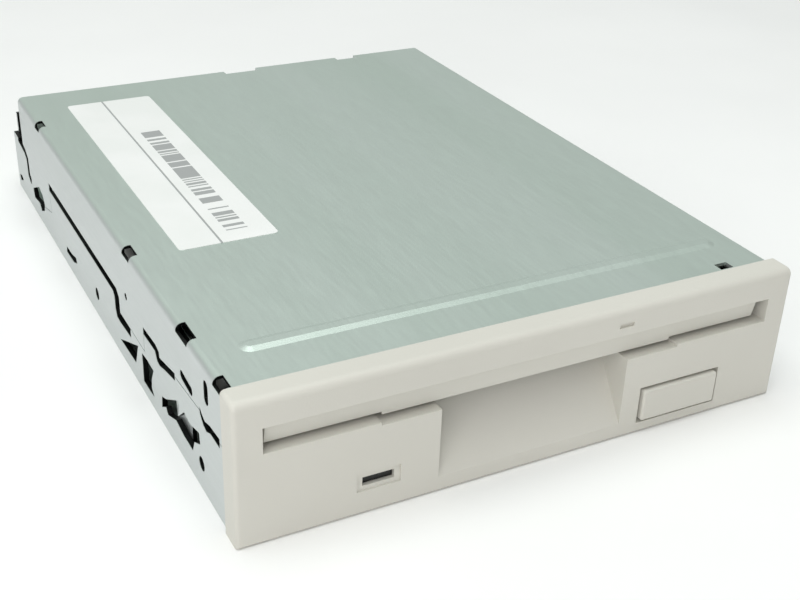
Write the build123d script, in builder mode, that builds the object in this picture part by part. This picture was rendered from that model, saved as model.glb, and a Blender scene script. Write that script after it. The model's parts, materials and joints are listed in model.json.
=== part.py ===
from build123d import *
import math
import os

os.makedirs("parts", exist_ok=True)

# Overall sizes, in mm
WIDTH = 101.6
HEIGHT = 25.4
DEPTH = 146.0
BUTTON_PROUD = 0.6
FRONT_Y = BUTTON_PROUD - DEPTH / 2
REAR_Y = DEPTH / 2

# Sheet and moulding thicknesses
FRAME_T = 1.0
COVER_T = 0.6
TRAY_T = 0.8
SLIDE_T = 0.8
EAR_T = 0.8
BOARD_T = 1.6
BEZEL_T = 4.6
BEZEL_WALL = 1.8
BEZEL_RIM = 1.6

# Stack across the width, from the disk outwards
DISK_W = WIDTH - 11.6
DISK_T = 3.3
SIDE_GAP = 0.5
TRAY_IN = DISK_W / 2 + 0.6
TRAY_OUT = TRAY_IN + TRAY_T
SLIDE_IN = TRAY_OUT + SIDE_GAP
SLIDE_OUT = SLIDE_IN + SLIDE_T
EAR_IN = SLIDE_OUT + SIDE_GAP
EAR_OUT = EAR_IN + EAR_T
CHASSIS_HALF = WIDTH / 2 - 0.5
WALL_IN = CHASSIS_HALF - FRAME_T

# Levels, from the surface the drive stands on
DECK_Z = 3.7
DECK_TOP = DECK_Z + FRAME_T
BOARD_Z = DECK_Z - BOARD_T
SLIDE_Z = DECK_TOP + 0.2
BAY_Z = 16.1
BAY_H = 4.4
BAY_TOP = BAY_Z + BAY_H
TRAY_TOP = BAY_TOP + TRAY_T
COVER_TOP = HEIGHT - 0.7
COVER_IN = COVER_TOP - COVER_T

# Travels of the mechanism
SLIDE_TRAVEL = 6.0
TRAY_DROP = 4.0
PLUNGER_TRAVEL = 1.2


def at(depth):
    """Y of a point this far behind the face of the bezel, for a drive 146 mm deep."""
    return FRONT_Y + depth * DEPTH / 146


def span(x0, x1, y0, y1, z0, z1, mode=Mode.ADD):
    """A block between two corners."""
    with Locations(((x0 + x1) / 2, (y0 + y1) / 2, (z0 + z1) / 2)):
        Box(abs(x1 - x0), abs(y1 - y0), abs(z1 - z0), mode=mode)


def post(x, y, z0, z1, radius, mode=Mode.ADD):
    """An upright cylinder."""
    with Locations((x, y, (z0 + z1) / 2)):
        Cylinder(radius, z1 - z0, mode=mode)


def rod_x(x0, x1, y, z, radius, mode=Mode.ADD):
    """A cylinder along the width."""
    with Locations(((x0 + x1) / 2, y, z)):
        Cylinder(radius, abs(x1 - x0), rotation=(0, 90, 0), mode=mode)


def rod_y(x, y0, y1, z, radius, mode=Mode.ADD):
    """A cylinder along the depth."""
    with Locations((x, (y0 + y1) / 2, z)):
        Cylinder(radius, y1 - y0, rotation=(90, 0, 0), mode=mode)


def keep(builder, label):
    """Name a finished piece and write its file."""
    builder.part.label = label
    export_step(builder.part, f"parts/{label}.step")


# Positions along the depth
BACK_Y = at(BEZEL_T)
COVER_Y = BACK_Y + 0.1
COVER_END = REAR_Y - 9.6
SPINDLE_Y = at(52.0)
TRACK0_R = 39.5
HEAD_Y = SPINDLE_Y + TRACK0_R
PIN_YS = (at(28.0), at(84.0))
SIDE_HOLE_YS = (at(16.0), at(76.0))
SIDE_HOLE_Z = 5.0
SIDE_HOLE_R = 1.25
SIDES = (-1, 1)

# Front face features, read from the photograph
SLOT_HALF = DISK_W / 2 + 1.3
SLOT_Z0 = BAY_Z
SLOT_Z1 = BAY_TOP
NOTCH_HALF = 0.2707 * WIDTH
NOTCH_DROP = 0.5
SCOOP_HALF = 0.1703 * WIDTH
SCOOP_Z0 = 3.0
SCOOP_DEEP = 8.5
SCOOP_WALL = 1.2
LAMP_X = -0.2726 * WIDTH
LAMP_Z = 6.0
LAMP_W = 5.4
LAMP_H = 1.6
BUTTON_X = 0.2879 * WIDTH
BUTTON_Z = 5.65
BUTTON_W = 15.5
BUTTON_H = 5.9
BUTTON_GAP = 0.55
BUTTON_L = 10.4

# Dust door
DOOR_AXIS_Y = at(1.9)
DOOR_AXIS_Z = SLOT_Z1 + 0.7
DOOR_HALF = SLOT_HALF - 1.8
DOOR_PIN_R = 0.6
DOOR_PIN_END = SLOT_HALF + 1.7
DOOR_GAP = 0.8
DOOR_WING = SLOT_HALF - 0.7

# Tray guide pins
PIN_R = 1.2
PIN_FIT = 0.1
PIN_Z = BAY_Z + BAY_H / 2

# Parting line of cover and chassis, as depth and height
PARTING = (
    (BEZEL_T - 1.0, 14.6),
    (7.0, 14.6),
    (11.2, 14.4),
    (13.2, 13.7),
    (14.5, 14.2),
    (15.7, 15.1),
    (27.6, 14.1),
    (33.4, 12.9),
    (35.7, 12.5),
    (36.7, 13.0),
    (37.9, 13.9),
    (44.5, 13.6),
    (44.5, 9.4),
    (52.8, 9.4),
    (53.2, 8.6),
    (59.4, 8.3),
    (60.8, 8.9),
    (60.9, 11.4),
    (62.2, 12.9),
    (111.3, 13.0),
    (111.3, 7.0),
    (118.4, 5.4),
    (129.0, 4.6),
    (130.8, 6.5),
    (132.4, 7.4),
    (132.6, 11.4),
    (134.6, 12.6),
    (138.4, 13.2),
    (147.0, 13.5),
)
PARTING_FIT = 0.15
# Gaps left open along the parting line, as depth and height
PARTING_GAPS = (
    [
        (15.8, 15.9), (14.6, 15.0), (13.4, 14.5), (11.2, 15.1), (7.0, 15.4),
        (7.0, 13.7), (11.2, 13.7), (13.0, 12.9), (14.4, 13.3), (15.6, 14.4),
    ],
    [
        (44.6, 14.3), (37.6, 14.7), (35.8, 14.2), (35.6, 13.2), (27.6, 14.8), (27.6, 13.4),
        (33.3, 12.2), (35.8, 11.5), (37.2, 11.6), (38.2, 13.1), (44.6, 12.9),
    ],
    [
        (111.5, 13.9), (60.8, 13.75), (59.3, 12.6), (59.2, 9.5), (53.0, 9.5), (53.0, 7.6),
        (59.5, 7.2), (61.8, 7.3), (62.5, 8.6), (62.6, 11.2), (63.6, 12.0), (111.5, 12.1),
    ],
    [
        (129.3, 5.6), (122.5, 8.6), (119.3, 7.7), (118.2, 6.0),
        (118.9, 4.3), (122.4, 2.8), (123.7, 4.2), (128.8, 3.5),
    ],
    [
        (141.0, 14.4), (136.5, 14.0), (133.6, 13.2), (131.5, 11.9), (131.3, 8.0), (130.2, 7.4),
        (130.4, 5.9), (132.2, 6.0), (133.5, 7.0), (133.7, 10.8), (135.6, 11.8), (141.2, 12.5),
    ],
)

# Openings pressed into the side walls of the chassis, as depth and height
WALL_OPENINGS = (
    [(60.8, 3.2), (48.7, 8.3), (50.9, 3.6), (55.9, 3.4)],
    [
        (46.5, 8.1), (43.5, 8.4), (39.9, 8.2), (41.3, 5.8),
        (41.7, 3.8), (40.4, 2.6), (43.1, 2.4), (46.6, 2.3),
    ],
    [
        (35.8, 5.6), (33.5, 6.4), (26.9, 10.1), (26.2, 9.4), (27.2, 6.9), (23.8, 9.8),
        (21.0, 9.3), (16.6, 10.4), (16.3, 8.4), (19.2, 7.0), (20.2, 4.7), (24.6, 4.7),
        (28.5, 5.3), (33.0, 3.6), (33.9, 4.6), (36.2, 3.2),
    ],
    [(99.6, 4.5), (95.4, 4.6), (92.0, 5.3), (91.2, 4.3), (94.3, 3.2), (100.1, 3.0)],
    [(144.2, 3.2), (141.9, 3.8), (140.1, 3.2), (143.4, 1.9)],
)

# Spindle motor
SHAFT_R = 2.0
SHAFT_FIT = 0.04
ROTOR_R = 22.0
ROTOR_WALL = 1.2
ROTOR_Z0 = DECK_Z + 0.5
ROTOR_TOP = 7.8
MAGNET_T = 2.0
MOTOR_HOLE_R = ROTOR_R + 1.5
HUB_R = 12.5
HUB_TOP = BAY_Z - TRAY_DROP - 0.1
POLES = 9
CORE_R = ROTOR_R - ROTOR_WALL - MAGNET_T - 0.5
CORE_Z = DECK_Z + 0.9
CORE_T = 1.2
BARREL_R = 3.2

# Head carriage and its drive
ROD_X = -15.0
ROD_Z = 9.0
ROD_R = 1.5
ROD_Y0 = at(71.6)
ROD_Y1 = at(119.0)
CLIP_L = 2.6
SCREW_X = 21.0
SCREW_Z = 9.2
SCREW_R = 1.5
SCREW_Y0 = at(69.4)
CAN_Y = at(113.0)
CAN_L = 13.0
CAN_R = 6.5
BRACKET_T = 1.0
CARRIAGE_Z0 = 6.5
CARRIAGE_Z1 = 11.4
MEDIA_Z = BAY_Z - TRAY_DROP + DISK_T / 2
HEAD_GAP = 0.15
HEAD_SIZE = 6.0

# Upper arm, raised while the tray is up
ARM_HALF = 6.0
ARM_T = 1.0
ARM_LEN = 28.0
ARM_NOSE = 3.0
ARM_PIVOT_Y = HEAD_Y + ARM_LEN
ARM_PIVOT_Z = MEDIA_Z + 1.85
ARM_LIFT = BAY_TOP - MEDIA_Z - HEAD_GAP
ARM_ANGLE = math.degrees(math.asin(ARM_LIFT / ARM_LEN))
ARM_PIN_R = 1.0

# Connectors
PITCH = 2.54
DATA_X = -8.0
DATA_COLS = 17
POWER_PITCH = 2.5
POWER_PINS = 4
PIN_W = 0.64

# Planes of the two side walls
WALL_PLANES = (Plane.YZ.offset(-CHASSIS_HALF), Plane.YZ.offset(CHASSIS_HALF - FRAME_T))

# Outline of everything below the parting line, seen from the side
BELOW_PARTING = [(at(d), z) for d, z in PARTING]
BELOW_PARTING += [(at(PARTING[-1][0]), -5.0), (at(PARTING[0][0]), -5.0)]

# Chassis: a pressed steel pan with a raised deck, side walls and guide ears
DECK_HALF = WALL_IN - 4.8
DECK_END = at(128.0)
STRIP_IN = DECK_HALF - 6.5
SCREW_COL = DECK_HALF - 3.5
WALL_TOP = max(z for d, z in PARTING)
NOTCH_W = BUTTON_W / 2 + 0.7
REAR_LEFT = 18.0 - WALL_IN
REAR_RIGHT = WALL_IN - 11.5
REAR_TALL = 18.0
LEVER_X = 3.0 - STRIP_IN
LEVER_Y = at(101.0)
SWITCH_X = TRAY_IN - 5.1
SWITCH_XS = (-SWITCH_X, 7.5 - SWITCH_X, SWITCH_X)
SWITCH_Y = at(BUTTON_L + 2.8)
BOARD_SCREWS = [(side * SCREW_COL, at(d)) for d in (21.0, 74.0, 100.0, 138.0) for side in SIDES]
SCREW_SHANK_R = 1.0
HOOK_X = STRIP_IN - 2.0
HOOK_Y = at(48.0)
LUG_Y = at(78.0)
SPRING_Z = 7.4
SPRING_R = 1.5

with BuildPart() as base_frame:
    with BuildSketch(Plane.XZ.offset(-REAR_Y)):
        with BuildLine():
            half = [
                (CHASSIS_HALF, 0),
                (CHASSIS_HALF, WALL_TOP),
                (WALL_IN, WALL_TOP),
                (WALL_IN, FRAME_T),
                (DECK_HALF, FRAME_T),
                (DECK_HALF, DECK_TOP),
            ]
            under = [(DECK_HALF - FRAME_T, DECK_Z), (DECK_HALF - FRAME_T, 0)]
            right = [*half, *[(-x, z) for x, z in reversed(half)]]
            Polyline(*right, *[(-x, z) for x, z in reversed(under)], *under, close=True)
        make_face()
    extrude(amount=REAR_Y - BACK_Y)
    # Side walls end at the parting line
    with BuildSketch(*WALL_PLANES):
        with Locations(((BACK_Y + REAR_Y) / 2, WALL_TOP / 2)):
            Rectangle(REAR_Y - BACK_Y + 2, WALL_TOP + 2)
        with BuildLine():
            Polyline(*BELOW_PARTING, close=True)
        make_face(mode=Mode.SUBTRACT)
    extrude(amount=FRAME_T, mode=Mode.SUBTRACT)
    # Gaps and pressed openings of the side walls
    with BuildSketch(*WALL_PLANES):
        for outline in PARTING_GAPS + WALL_OPENINGS:
            with BuildLine():
                Polyline(*[(at(d), z) for d, z in outline], close=True)
            make_face()
    extrude(amount=FRAME_T, mode=Mode.SUBTRACT)
    # Side mounting holes with their drawn collars
    for side in SIDES:
        for y in SIDE_HOLE_YS:
            rod_x(side * (WALL_IN - 1.2), side * WALL_IN, y, SIDE_HOLE_Z, SIDE_HOLE_R + 0.9)
            rod_x(
                side * (WALL_IN - 2),
                side * (CHASSIS_HALF + 1),
                y,
                SIDE_HOLE_Z,
                SIDE_HOLE_R,
                Mode.SUBTRACT,
            )
    # Rear wall at both corners, clear of the connectors
    for x0, x1, top in ((-WALL_IN, REAR_LEFT, REAR_TALL), (REAR_RIGHT, WALL_IN, PARTING[-1][1])):
        span(x0, x1, REAR_Y - FRAME_T, REAR_Y, FRAME_T, top)
    # Openings in the deck
    span(-STRIP_IN, STRIP_IN, DECK_END, REAR_Y + 1, DECK_Z - 1, DECK_TOP + 1, Mode.SUBTRACT)
    post(0, SPINDLE_Y, DECK_Z - 1, DECK_TOP + 1, MOTOR_HOLE_R, Mode.SUBTRACT)
    span(
        BUTTON_X - NOTCH_W,
        BUTTON_X + NOTCH_W,
        BACK_Y - 1,
        at(BUTTON_L + 1.5),
        DECK_Z - 1,
        DECK_TOP + 1,
        Mode.SUBTRACT,
    )
    span(
        SCREW_X - CAN_R - 0.8,
        SCREW_X + CAN_R + 0.8,
        CAN_Y - 0.2,
        CAN_Y + CAN_L + 0.8,
        DECK_Z - 1,
        DECK_TOP + 1,
        Mode.SUBTRACT,
    )
    # Lead slots of the lamp and the switches
    for x in (LAMP_X - 1.0, LAMP_X + 1.0):
        span(x - 0.5, x + 0.5, at(9.0), at(10.2), DECK_Z - 1, DECK_TOP + 1, Mode.SUBTRACT)
    for x in SWITCH_XS:
        span(x - 1.6, x + 1.6, SWITCH_Y - 2.2, SWITCH_Y + 2.2, DECK_Z - 1, DECK_TOP + 1, Mode.SUBTRACT)
    for x, y in BOARD_SCREWS:
        post(x, y, DECK_Z - 1, DECK_TOP + 1, SCREW_SHANK_R, Mode.SUBTRACT)
    # Ears that guide the tray pins upright
    for side in SIDES:
        for y in PIN_YS:
            span(side * EAR_IN, side * EAR_OUT, y - 4, y + 4, FRAME_T, TRAY_TOP + 0.7)
            span(
                side * (EAR_IN - 0.1),
                side * (EAR_OUT + 0.1),
                y - PIN_R - PIN_FIT,
                y + PIN_R + PIN_FIT,
                PIN_Z - TRAY_DROP,
                PIN_Z,
                Mode.SUBTRACT,
            )
            for z in (PIN_Z, PIN_Z - TRAY_DROP):
                rod_x(
                    side * (EAR_IN - 0.1),
                    side * (EAR_OUT + 0.1),
                    y,
                    z,
                    PIN_R + PIN_FIT,
                    Mode.SUBTRACT,
                )
    # Spring hooks lanced out of the deck
    for side in SIDES:
        span(
            side * (HOOK_X - 1.2),
            side * (HOOK_X + 1.2),
            HOOK_Y,
            HOOK_Y + FRAME_T,
            DECK_TOP,
            SPRING_Z + 1.4,
        )
        rod_y(side * HOOK_X, HOOK_Y - 1, HOOK_Y + 2, SPRING_Z, 0.5, Mode.SUBTRACT)
keep(base_frame, "base_frame")

# Top cover: one folded sheet with a bead, bend slots and rear notches
BEAD_Y = at(15.2)
BEAD_W = 3.6
BEAD_H = 0.35
BEAD_SLOPE = 72
COVER_BEND = 1.2
with BuildPart() as top_cover:
    with BuildSketch(Plane.XZ.offset(-COVER_END)):
        with BuildLine():
            FilletPolyline(
                (-CHASSIS_HALF, 0),
                (-CHASSIS_HALF, COVER_TOP),
                (CHASSIS_HALF, COVER_TOP),
                (CHASSIS_HALF, 0),
                radius=COVER_BEND,
            )
            Polyline(
                (CHASSIS_HALF, 0),
                (CHASSIS_HALF - COVER_T, 0),
                (CHASSIS_HALF - COVER_T, COVER_IN),
                (COVER_T - CHASSIS_HALF, COVER_IN),
                (COVER_T - CHASSIS_HALF, 0),
                (-CHASSIS_HALF, 0),
            )
        make_face()
    extrude(amount=COVER_END - COVER_Y)
    with BuildSketch(Plane.YZ):
        with BuildLine():
            Polyline(*BELOW_PARTING, close=True)
        make_face()
        offset(amount=PARTING_FIT, kind=Kind.INTERSECTION)
        for outline in PARTING_GAPS:
            with BuildLine():
                Polyline(*[(at(d), z) for d, z in outline], close=True)
            make_face()
    extrude(amount=WIDTH, both=True, mode=Mode.SUBTRACT)
    # Stiffening bead across the front
    with BuildSketch(Plane.XY.offset(COVER_TOP)):
        with Locations((0.9, BEAD_Y)):
            SlotOverall(WIDTH - 12.0, BEAD_W)
    extrude(amount=BEAD_H, taper=BEAD_SLOPE)
    # Square catch hole at the front right
    catch_x = CHASSIS_HALF - 10.3
    span(catch_x, catch_x + 2.6, at(5.8), at(7.8), COVER_IN - 1, COVER_TOP + 1, Mode.SUBTRACT)
    # Slots along the left bend
    for d0, d1 in ((5.7, 9.2), (20.5, 25.9), (50.7, 54.9), (116.0, 119.6)):
        span(
            -CHASSIS_HALF - 1,
            -CHASSIS_HALF + 1.7,
            at(d0),
            at(d1),
            COVER_TOP - 1.3,
            COVER_TOP + 1,
            Mode.SUBTRACT,
        )
    # Rear lip and its notches
    lip_x = CHASSIS_HALF - 3.3
    span(-lip_x, lip_x, COVER_END - COVER_T, COVER_END, COVER_IN - 3.5, COVER_IN)
    for x0, x1 in ((-2.0, 6.0), (27.0, 32.0)):
        span(x0, x1, COVER_END - 1.7, COVER_END + 1, COVER_IN - 5, COVER_TOP + 1, Mode.SUBTRACT)
    # Slots pressed into both skirts
    with BuildSketch(Plane.YZ.offset(-CHASSIS_HALF), Plane.YZ.offset(CHASSIS_HALF - COVER_T)):
        with Locations((at(21.7), 16.5)):
            SlotOverall(5.8, 1.7, rotation=6)
        with Locations((at(12.3), 20.2)):
            SlotOverall(4.2, 1.9, rotation=90)
        with Locations((at(54.4), 15.2)):
            Circle(0.7)
    extrude(amount=COVER_T, mode=Mode.SUBTRACT)
keep(top_cover, "top_cover")

# Front bezel: a hollow moulding with slot, finger scoop, lamp window and button sleeve
with BuildPart() as front_bezel:
    with BuildSketch(Plane.XZ.offset(-BACK_Y)):
        with Locations((0, HEIGHT / 2)):
            Rectangle(WIDTH, HEIGHT)
    extrude(amount=BEZEL_T)
    front_edges = front_bezel.faces().sort_by(Axis.Y)[0].edges()
    fillet(front_edges.sort_by(Axis.Z)[-1], radius=1.3)
    front_edges = front_bezel.faces().sort_by(Axis.Y)[0].edges()
    fillet(front_edges.sort_by(Axis.Z)[:-1], radius=0.8)
    # Hollow back
    with BuildSketch(Plane.XZ.offset(-BACK_Y)):
        with Locations((0, HEIGHT / 2)):
            Rectangle(WIDTH - 2 * BEZEL_RIM, HEIGHT - 2 * BEZEL_RIM)
    extrude(amount=BEZEL_T - BEZEL_WALL, mode=Mode.SUBTRACT)
    # Solid ends that carry the pins of the door
    for side in SIDES:
        span(side * SLOT_HALF, side * (WIDTH / 2 - 1), at(1.0), BACK_Y, SLOT_Z0 - 2, HEIGHT - 1.0)
    # Lip under the slot
    span(-SLOT_HALF - 1, SLOT_HALF + 1, at(1.0), BACK_Y, SLOT_Z0 - 2, SLOT_Z0)
    # Shell behind the finger scoop
    with BuildSketch(Plane.YZ.offset(-SCOOP_HALF - SCOOP_WALL)):
        with BuildLine():
            Polyline(
                (at(1.0), SCOOP_Z0),
                (at(1.0), SLOT_Z0 - NOTCH_DROP),
                (at(SCOOP_DEEP + SCOOP_WALL), SLOT_Z0 - NOTCH_DROP),
                (at(SCOOP_DEEP + SCOOP_WALL), SLOT_Z0 - NOTCH_DROP - 2.0),
                close=True,
            )
        make_face()
    extrude(amount=2 * (SCOOP_HALF + SCOOP_WALL))
    # Sleeves of the button and the lamp
    span(
        BUTTON_X - BUTTON_W / 2 - 1.5,
        BUTTON_X + BUTTON_W / 2 + 1.5,
        at(1.0),
        BACK_Y,
        BUTTON_Z - BUTTON_H / 2 - 1.5,
        BUTTON_Z + BUTTON_H / 2 + 1.5,
    )
    span(
        LAMP_X - LAMP_W / 2 - 1.2,
        LAMP_X + LAMP_W / 2 + 1.2,
        at(1.0),
        at(3.2),
        LAMP_Z - LAMP_H / 2 - 1.2,
        LAMP_Z + LAMP_H / 2 + 1.2,
    )
    # Side prongs that reach into the chassis
    for side in SIDES:
        span(side * (WALL_IN - 1.2), side * (WALL_IN - 0.1), at(1.0), at(11.0), 8.6, 11.8)
    # Disk slot with its lowered middle
    span(-SLOT_HALF, SLOT_HALF, at(-1), at(20), SLOT_Z0, SLOT_Z1, Mode.SUBTRACT)
    span(-NOTCH_HALF, NOTCH_HALF, at(-1), at(20), SLOT_Z0 - NOTCH_DROP, SLOT_Z0 + 1, Mode.SUBTRACT)
    # Pocket and bores of the door hinge
    span(-SLOT_HALF, SLOT_HALF, at(0.75), at(20), SLOT_Z1 - 1, DOOR_AXIS_Z + 1.3, Mode.SUBTRACT)
    rod_x(
        -DOOR_PIN_END - 0.3,
        DOOR_PIN_END + 0.3,
        DOOR_AXIS_Y,
        DOOR_AXIS_Z,
        DOOR_PIN_R + 0.06,
        Mode.SUBTRACT,
    )
    # Finger scoop
    with BuildSketch(Plane.YZ.offset(-SCOOP_HALF)):
        with BuildLine():
            Polyline(
                (at(-1.0), SCOOP_Z0 - 0.2),
                (at(0.0), SCOOP_Z0),
                (at(SCOOP_DEEP), SLOT_Z0 - NOTCH_DROP),
                (at(SCOOP_DEEP), SLOT_Z0 + 1),
                (at(-1.0), SLOT_Z0 + 1),
                close=True,
            )
        make_face()
    extrude(amount=2 * SCOOP_HALF, mode=Mode.SUBTRACT)
    # Button opening and lamp window
    span(
        BUTTON_X - BUTTON_W / 2 - BUTTON_GAP,
        BUTTON_X + BUTTON_W / 2 + BUTTON_GAP,
        at(-1),
        at(20),
        BUTTON_Z - BUTTON_H / 2 - BUTTON_GAP,
        BUTTON_Z + BUTTON_H / 2 + BUTTON_GAP,
        Mode.SUBTRACT,
    )
    span(
        LAMP_X - LAMP_W / 2,
        LAMP_X + LAMP_W / 2,
        at(-1),
        at(20),
        LAMP_Z - LAMP_H / 2,
        LAMP_Z + LAMP_H / 2,
        Mode.SUBTRACT,
    )
    # Shallow frame round the lamp window
    span(
        LAMP_X - LAMP_W / 2 - 1.0,
        LAMP_X + LAMP_W / 2 + 1.0,
        at(-1),
        at(0.3),
        LAMP_Z - LAMP_H / 2 - 0.8,
        LAMP_Z + LAMP_H / 2 + 0.8,
        Mode.SUBTRACT,
    )
    # Small moulded dimple above the slot
    dimple_x = 0.16 * WIDTH
    dimple_z = HEIGHT - 3.0
    span(dimple_x - 1.4, dimple_x + 1.4, at(-1), at(0.4), dimple_z - 0.4, dimple_z + 0.4, Mode.SUBTRACT)
keep(front_bezel, "front_bezel")

# Dust door, hung from its upper edge and tilted inwards
DOOR_T = 1.0
DOOR_FACE = 1.0
DOOR_LEAN = 0.7
with BuildPart() as dust_door:
    with BuildSketch(Plane.YZ.offset(-DOOR_HALF)):
        with BuildLine():
            Polyline(
                (DOOR_AXIS_Y - 0.75, DOOR_AXIS_Z),
                (DOOR_AXIS_Y - DOOR_FACE + 0.05, SLOT_Z1 - 0.2),
                (DOOR_AXIS_Y - DOOR_FACE + DOOR_LEAN, SLOT_Z0 + DOOR_GAP),
                (DOOR_AXIS_Y - DOOR_FACE + DOOR_LEAN + DOOR_T, SLOT_Z0 + DOOR_GAP),
                (DOOR_AXIS_Y + 0.75, DOOR_AXIS_Z),
                close=True,
            )
        make_face()
        with Locations((DOOR_AXIS_Y, DOOR_AXIS_Z)):
            Circle(0.75)
    extrude(amount=2 * DOOR_HALF)
    # Panel below the hinge, out to the left end of the slot
    with BuildSketch(Plane.YZ.offset(-DOOR_WING)):
        with BuildLine():
            Polyline(
                (DOOR_AXIS_Y - DOOR_FACE + 0.1, SLOT_Z1 - 0.5),
                (DOOR_AXIS_Y - DOOR_FACE + DOOR_LEAN, SLOT_Z0 + DOOR_GAP),
                (DOOR_AXIS_Y - DOOR_FACE + DOOR_LEAN + DOOR_T, SLOT_Z0 + DOOR_GAP),
                (DOOR_AXIS_Y + 0.75, SLOT_Z1 - 0.5),
                close=True,
            )
        make_face()
    extrude(amount=DOOR_WING + DOOR_HALF)
    # Lower middle of the door
    span(
        -NOTCH_HALF + DOOR_GAP,
        NOTCH_HALF - DOOR_GAP,
        DOOR_AXIS_Y - DOOR_FACE + DOOR_LEAN,
        DOOR_AXIS_Y - DOOR_FACE + DOOR_LEAN + DOOR_T,
        SLOT_Z0 + DOOR_GAP - NOTCH_DROP,
        SLOT_Z0 + DOOR_GAP,
    )
    rod_x(-DOOR_PIN_END, DOOR_PIN_END, DOOR_AXIS_Y, DOOR_AXIS_Z, DOOR_PIN_R)
keep(dust_door, "dust_door")

# Spring of the dust door, wound on its right pin
DOOR_SPRING_X = DOOR_HALF + 0.3
with BuildPart() as door_spring:
    rod_x(DOOR_SPRING_X, DOOR_SPRING_X + 1.2, DOOR_AXIS_Y, DOOR_AXIS_Z, 1.0)
    rod_x(DOOR_SPRING_X - 1, DOOR_SPRING_X + 2, DOOR_AXIS_Y, DOOR_AXIS_Z, 0.7, Mode.SUBTRACT)
keep(door_spring, "door_spring")

# Eject button: a hollow cap with a socket for the tongue of the slide
TONGUE_HALF = 3.0
with BuildPart() as eject_button:
    with BuildSketch(Plane.XZ.offset(-at(BUTTON_L - BUTTON_PROUD))):
        with Locations((BUTTON_X, BUTTON_Z)):
            RectangleRounded(BUTTON_W, BUTTON_H, 0.5)
    extrude(amount=BUTTON_L)
    fillet(eject_button.faces().sort_by(Axis.Y)[0].edges(), radius=0.4)
    with BuildSketch(Plane.XZ.offset(-at(BUTTON_L - BUTTON_PROUD))):
        with Locations((BUTTON_X, BUTTON_Z)):
            Rectangle(BUTTON_W - 2.4, BUTTON_H - 2.4)
    extrude(amount=BUTTON_L - 4.5, mode=Mode.SUBTRACT)
    span(
        BUTTON_X - TONGUE_HALF - 1.2,
        BUTTON_X + TONGUE_HALF + 1.2,
        at(3.0),
        at(BUTTON_L - BUTTON_PROUD),
        BUTTON_Z - BUTTON_H / 2 + 0.6,
        BUTTON_Z + BUTTON_H / 2 - 0.6,
    )
    span(
        BUTTON_X - TONGUE_HALF,
        BUTTON_X + TONGUE_HALF,
        at(BUTTON_L - 6.0),
        at(BUTTON_L + 1.0),
        SLIDE_Z,
        SLIDE_Z + SLIDE_T,
        Mode.SUBTRACT,
    )
keep(eject_button, "eject_button")

# Lamp: a flat light-emitting diode with two leads down to the motor board
with BuildPart() as led_lamp:
    span(
        LAMP_X - LAMP_W / 2 + 0.1,
        LAMP_X + LAMP_W / 2 - 0.1,
        at(0.9),
        at(9.0),
        LAMP_Z - LAMP_H / 2 + 0.1,
        LAMP_Z + LAMP_H / 2 - 0.1,
    )
    span(
        LAMP_X - LAMP_W / 2 - 0.4,
        LAMP_X + LAMP_W / 2 + 0.4,
        BACK_Y + 0.4,
        at(9.0),
        DECK_TOP,
        LAMP_Z + 1.2,
    )
    for x in (LAMP_X - 1.0, LAMP_X + 1.0):
        span(x - 0.25, x + 0.25, at(9.0), at(9.9), LAMP_Z - 0.25, LAMP_Z + 0.25)
        span(x - 0.25, x + 0.25, at(9.4), at(9.9), DECK_Z, LAMP_Z + 0.25)
keep(led_lamp, "led_lamp")

# Slide plate: base strips on the deck, four cam tabs and the tongue of the button
SLIDE_Y0 = at(22.6)
SLIDE_Y1 = at(95.0)
BAR_Y1 = at(28.6)
CAM_SLOPE = math.degrees(math.atan2(TRAY_DROP, SLIDE_TRAVEL))
CAM_LEN = math.hypot(TRAY_DROP, SLIDE_TRAVEL)
with BuildPart() as slide_plate:
    for side in SIDES:
        span(side * STRIP_IN, side * SLIDE_OUT, SLIDE_Y0, SLIDE_Y1, SLIDE_Z, SLIDE_Z + SLIDE_T)
        # Relief over the screws and the lug of the spring
        span(
            side * (SCREW_COL - 2.0),
            side * (SCREW_COL + 2.0),
            at(66.0),
            at(76.5),
            SLIDE_Z - 1,
            SLIDE_Z + 2,
            Mode.SUBTRACT,
        )
        span(
            side * (HOOK_X - 1.2),
            side * (STRIP_IN + 1.0),
            LUG_Y,
            LUG_Y + SLIDE_T,
            SLIDE_Z,
            SPRING_Z + 1.4,
        )
        rod_y(side * HOOK_X, LUG_Y - 1, LUG_Y + 2, SPRING_Z, 0.5, Mode.SUBTRACT)
    span(-SLIDE_OUT, SLIDE_OUT, SLIDE_Y0, BAR_Y1, SLIDE_Z, SLIDE_Z + SLIDE_T)
    span(
        BUTTON_X - TONGUE_HALF,
        BUTTON_X + TONGUE_HALF,
        at(BUTTON_L - 6.0),
        SLIDE_Y0,
        SLIDE_Z,
        SLIDE_Z + SLIDE_T,
    )
    for side in SIDES:
        for y in PIN_YS:
            span(
                side * SLIDE_IN,
                side * SLIDE_OUT,
                y - 3.5,
                y + SLIDE_TRAVEL + 3.5,
                SLIDE_Z,
                PIN_Z + 2.6,
            )
    with BuildSketch(Plane.YZ.offset(-SLIDE_OUT), Plane.YZ.offset(SLIDE_IN)):
        for y in PIN_YS:
            with Locations((y + SLIDE_TRAVEL / 2, PIN_Z - TRAY_DROP / 2)):
                SlotCenterToCenter(CAM_LEN, 2 * (PIN_R + PIN_FIT), rotation=-CAM_SLOPE)
    extrude(amount=SLIDE_T, mode=Mode.SUBTRACT)
keep(slide_plate, "slide_plate")

# Springs that pull the slide forwards
with BuildPart() as slide_springs:
    for side in SIDES:
        rod_y(side * HOOK_X, HOOK_Y + 3.0, LUG_Y - 2.0, SPRING_Z, SPRING_R)
        rod_y(side * HOOK_X, HOOK_Y + 1.4, LUG_Y - 0.4, SPRING_Z, 0.35)
keep(slide_springs, "slide_springs")

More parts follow.
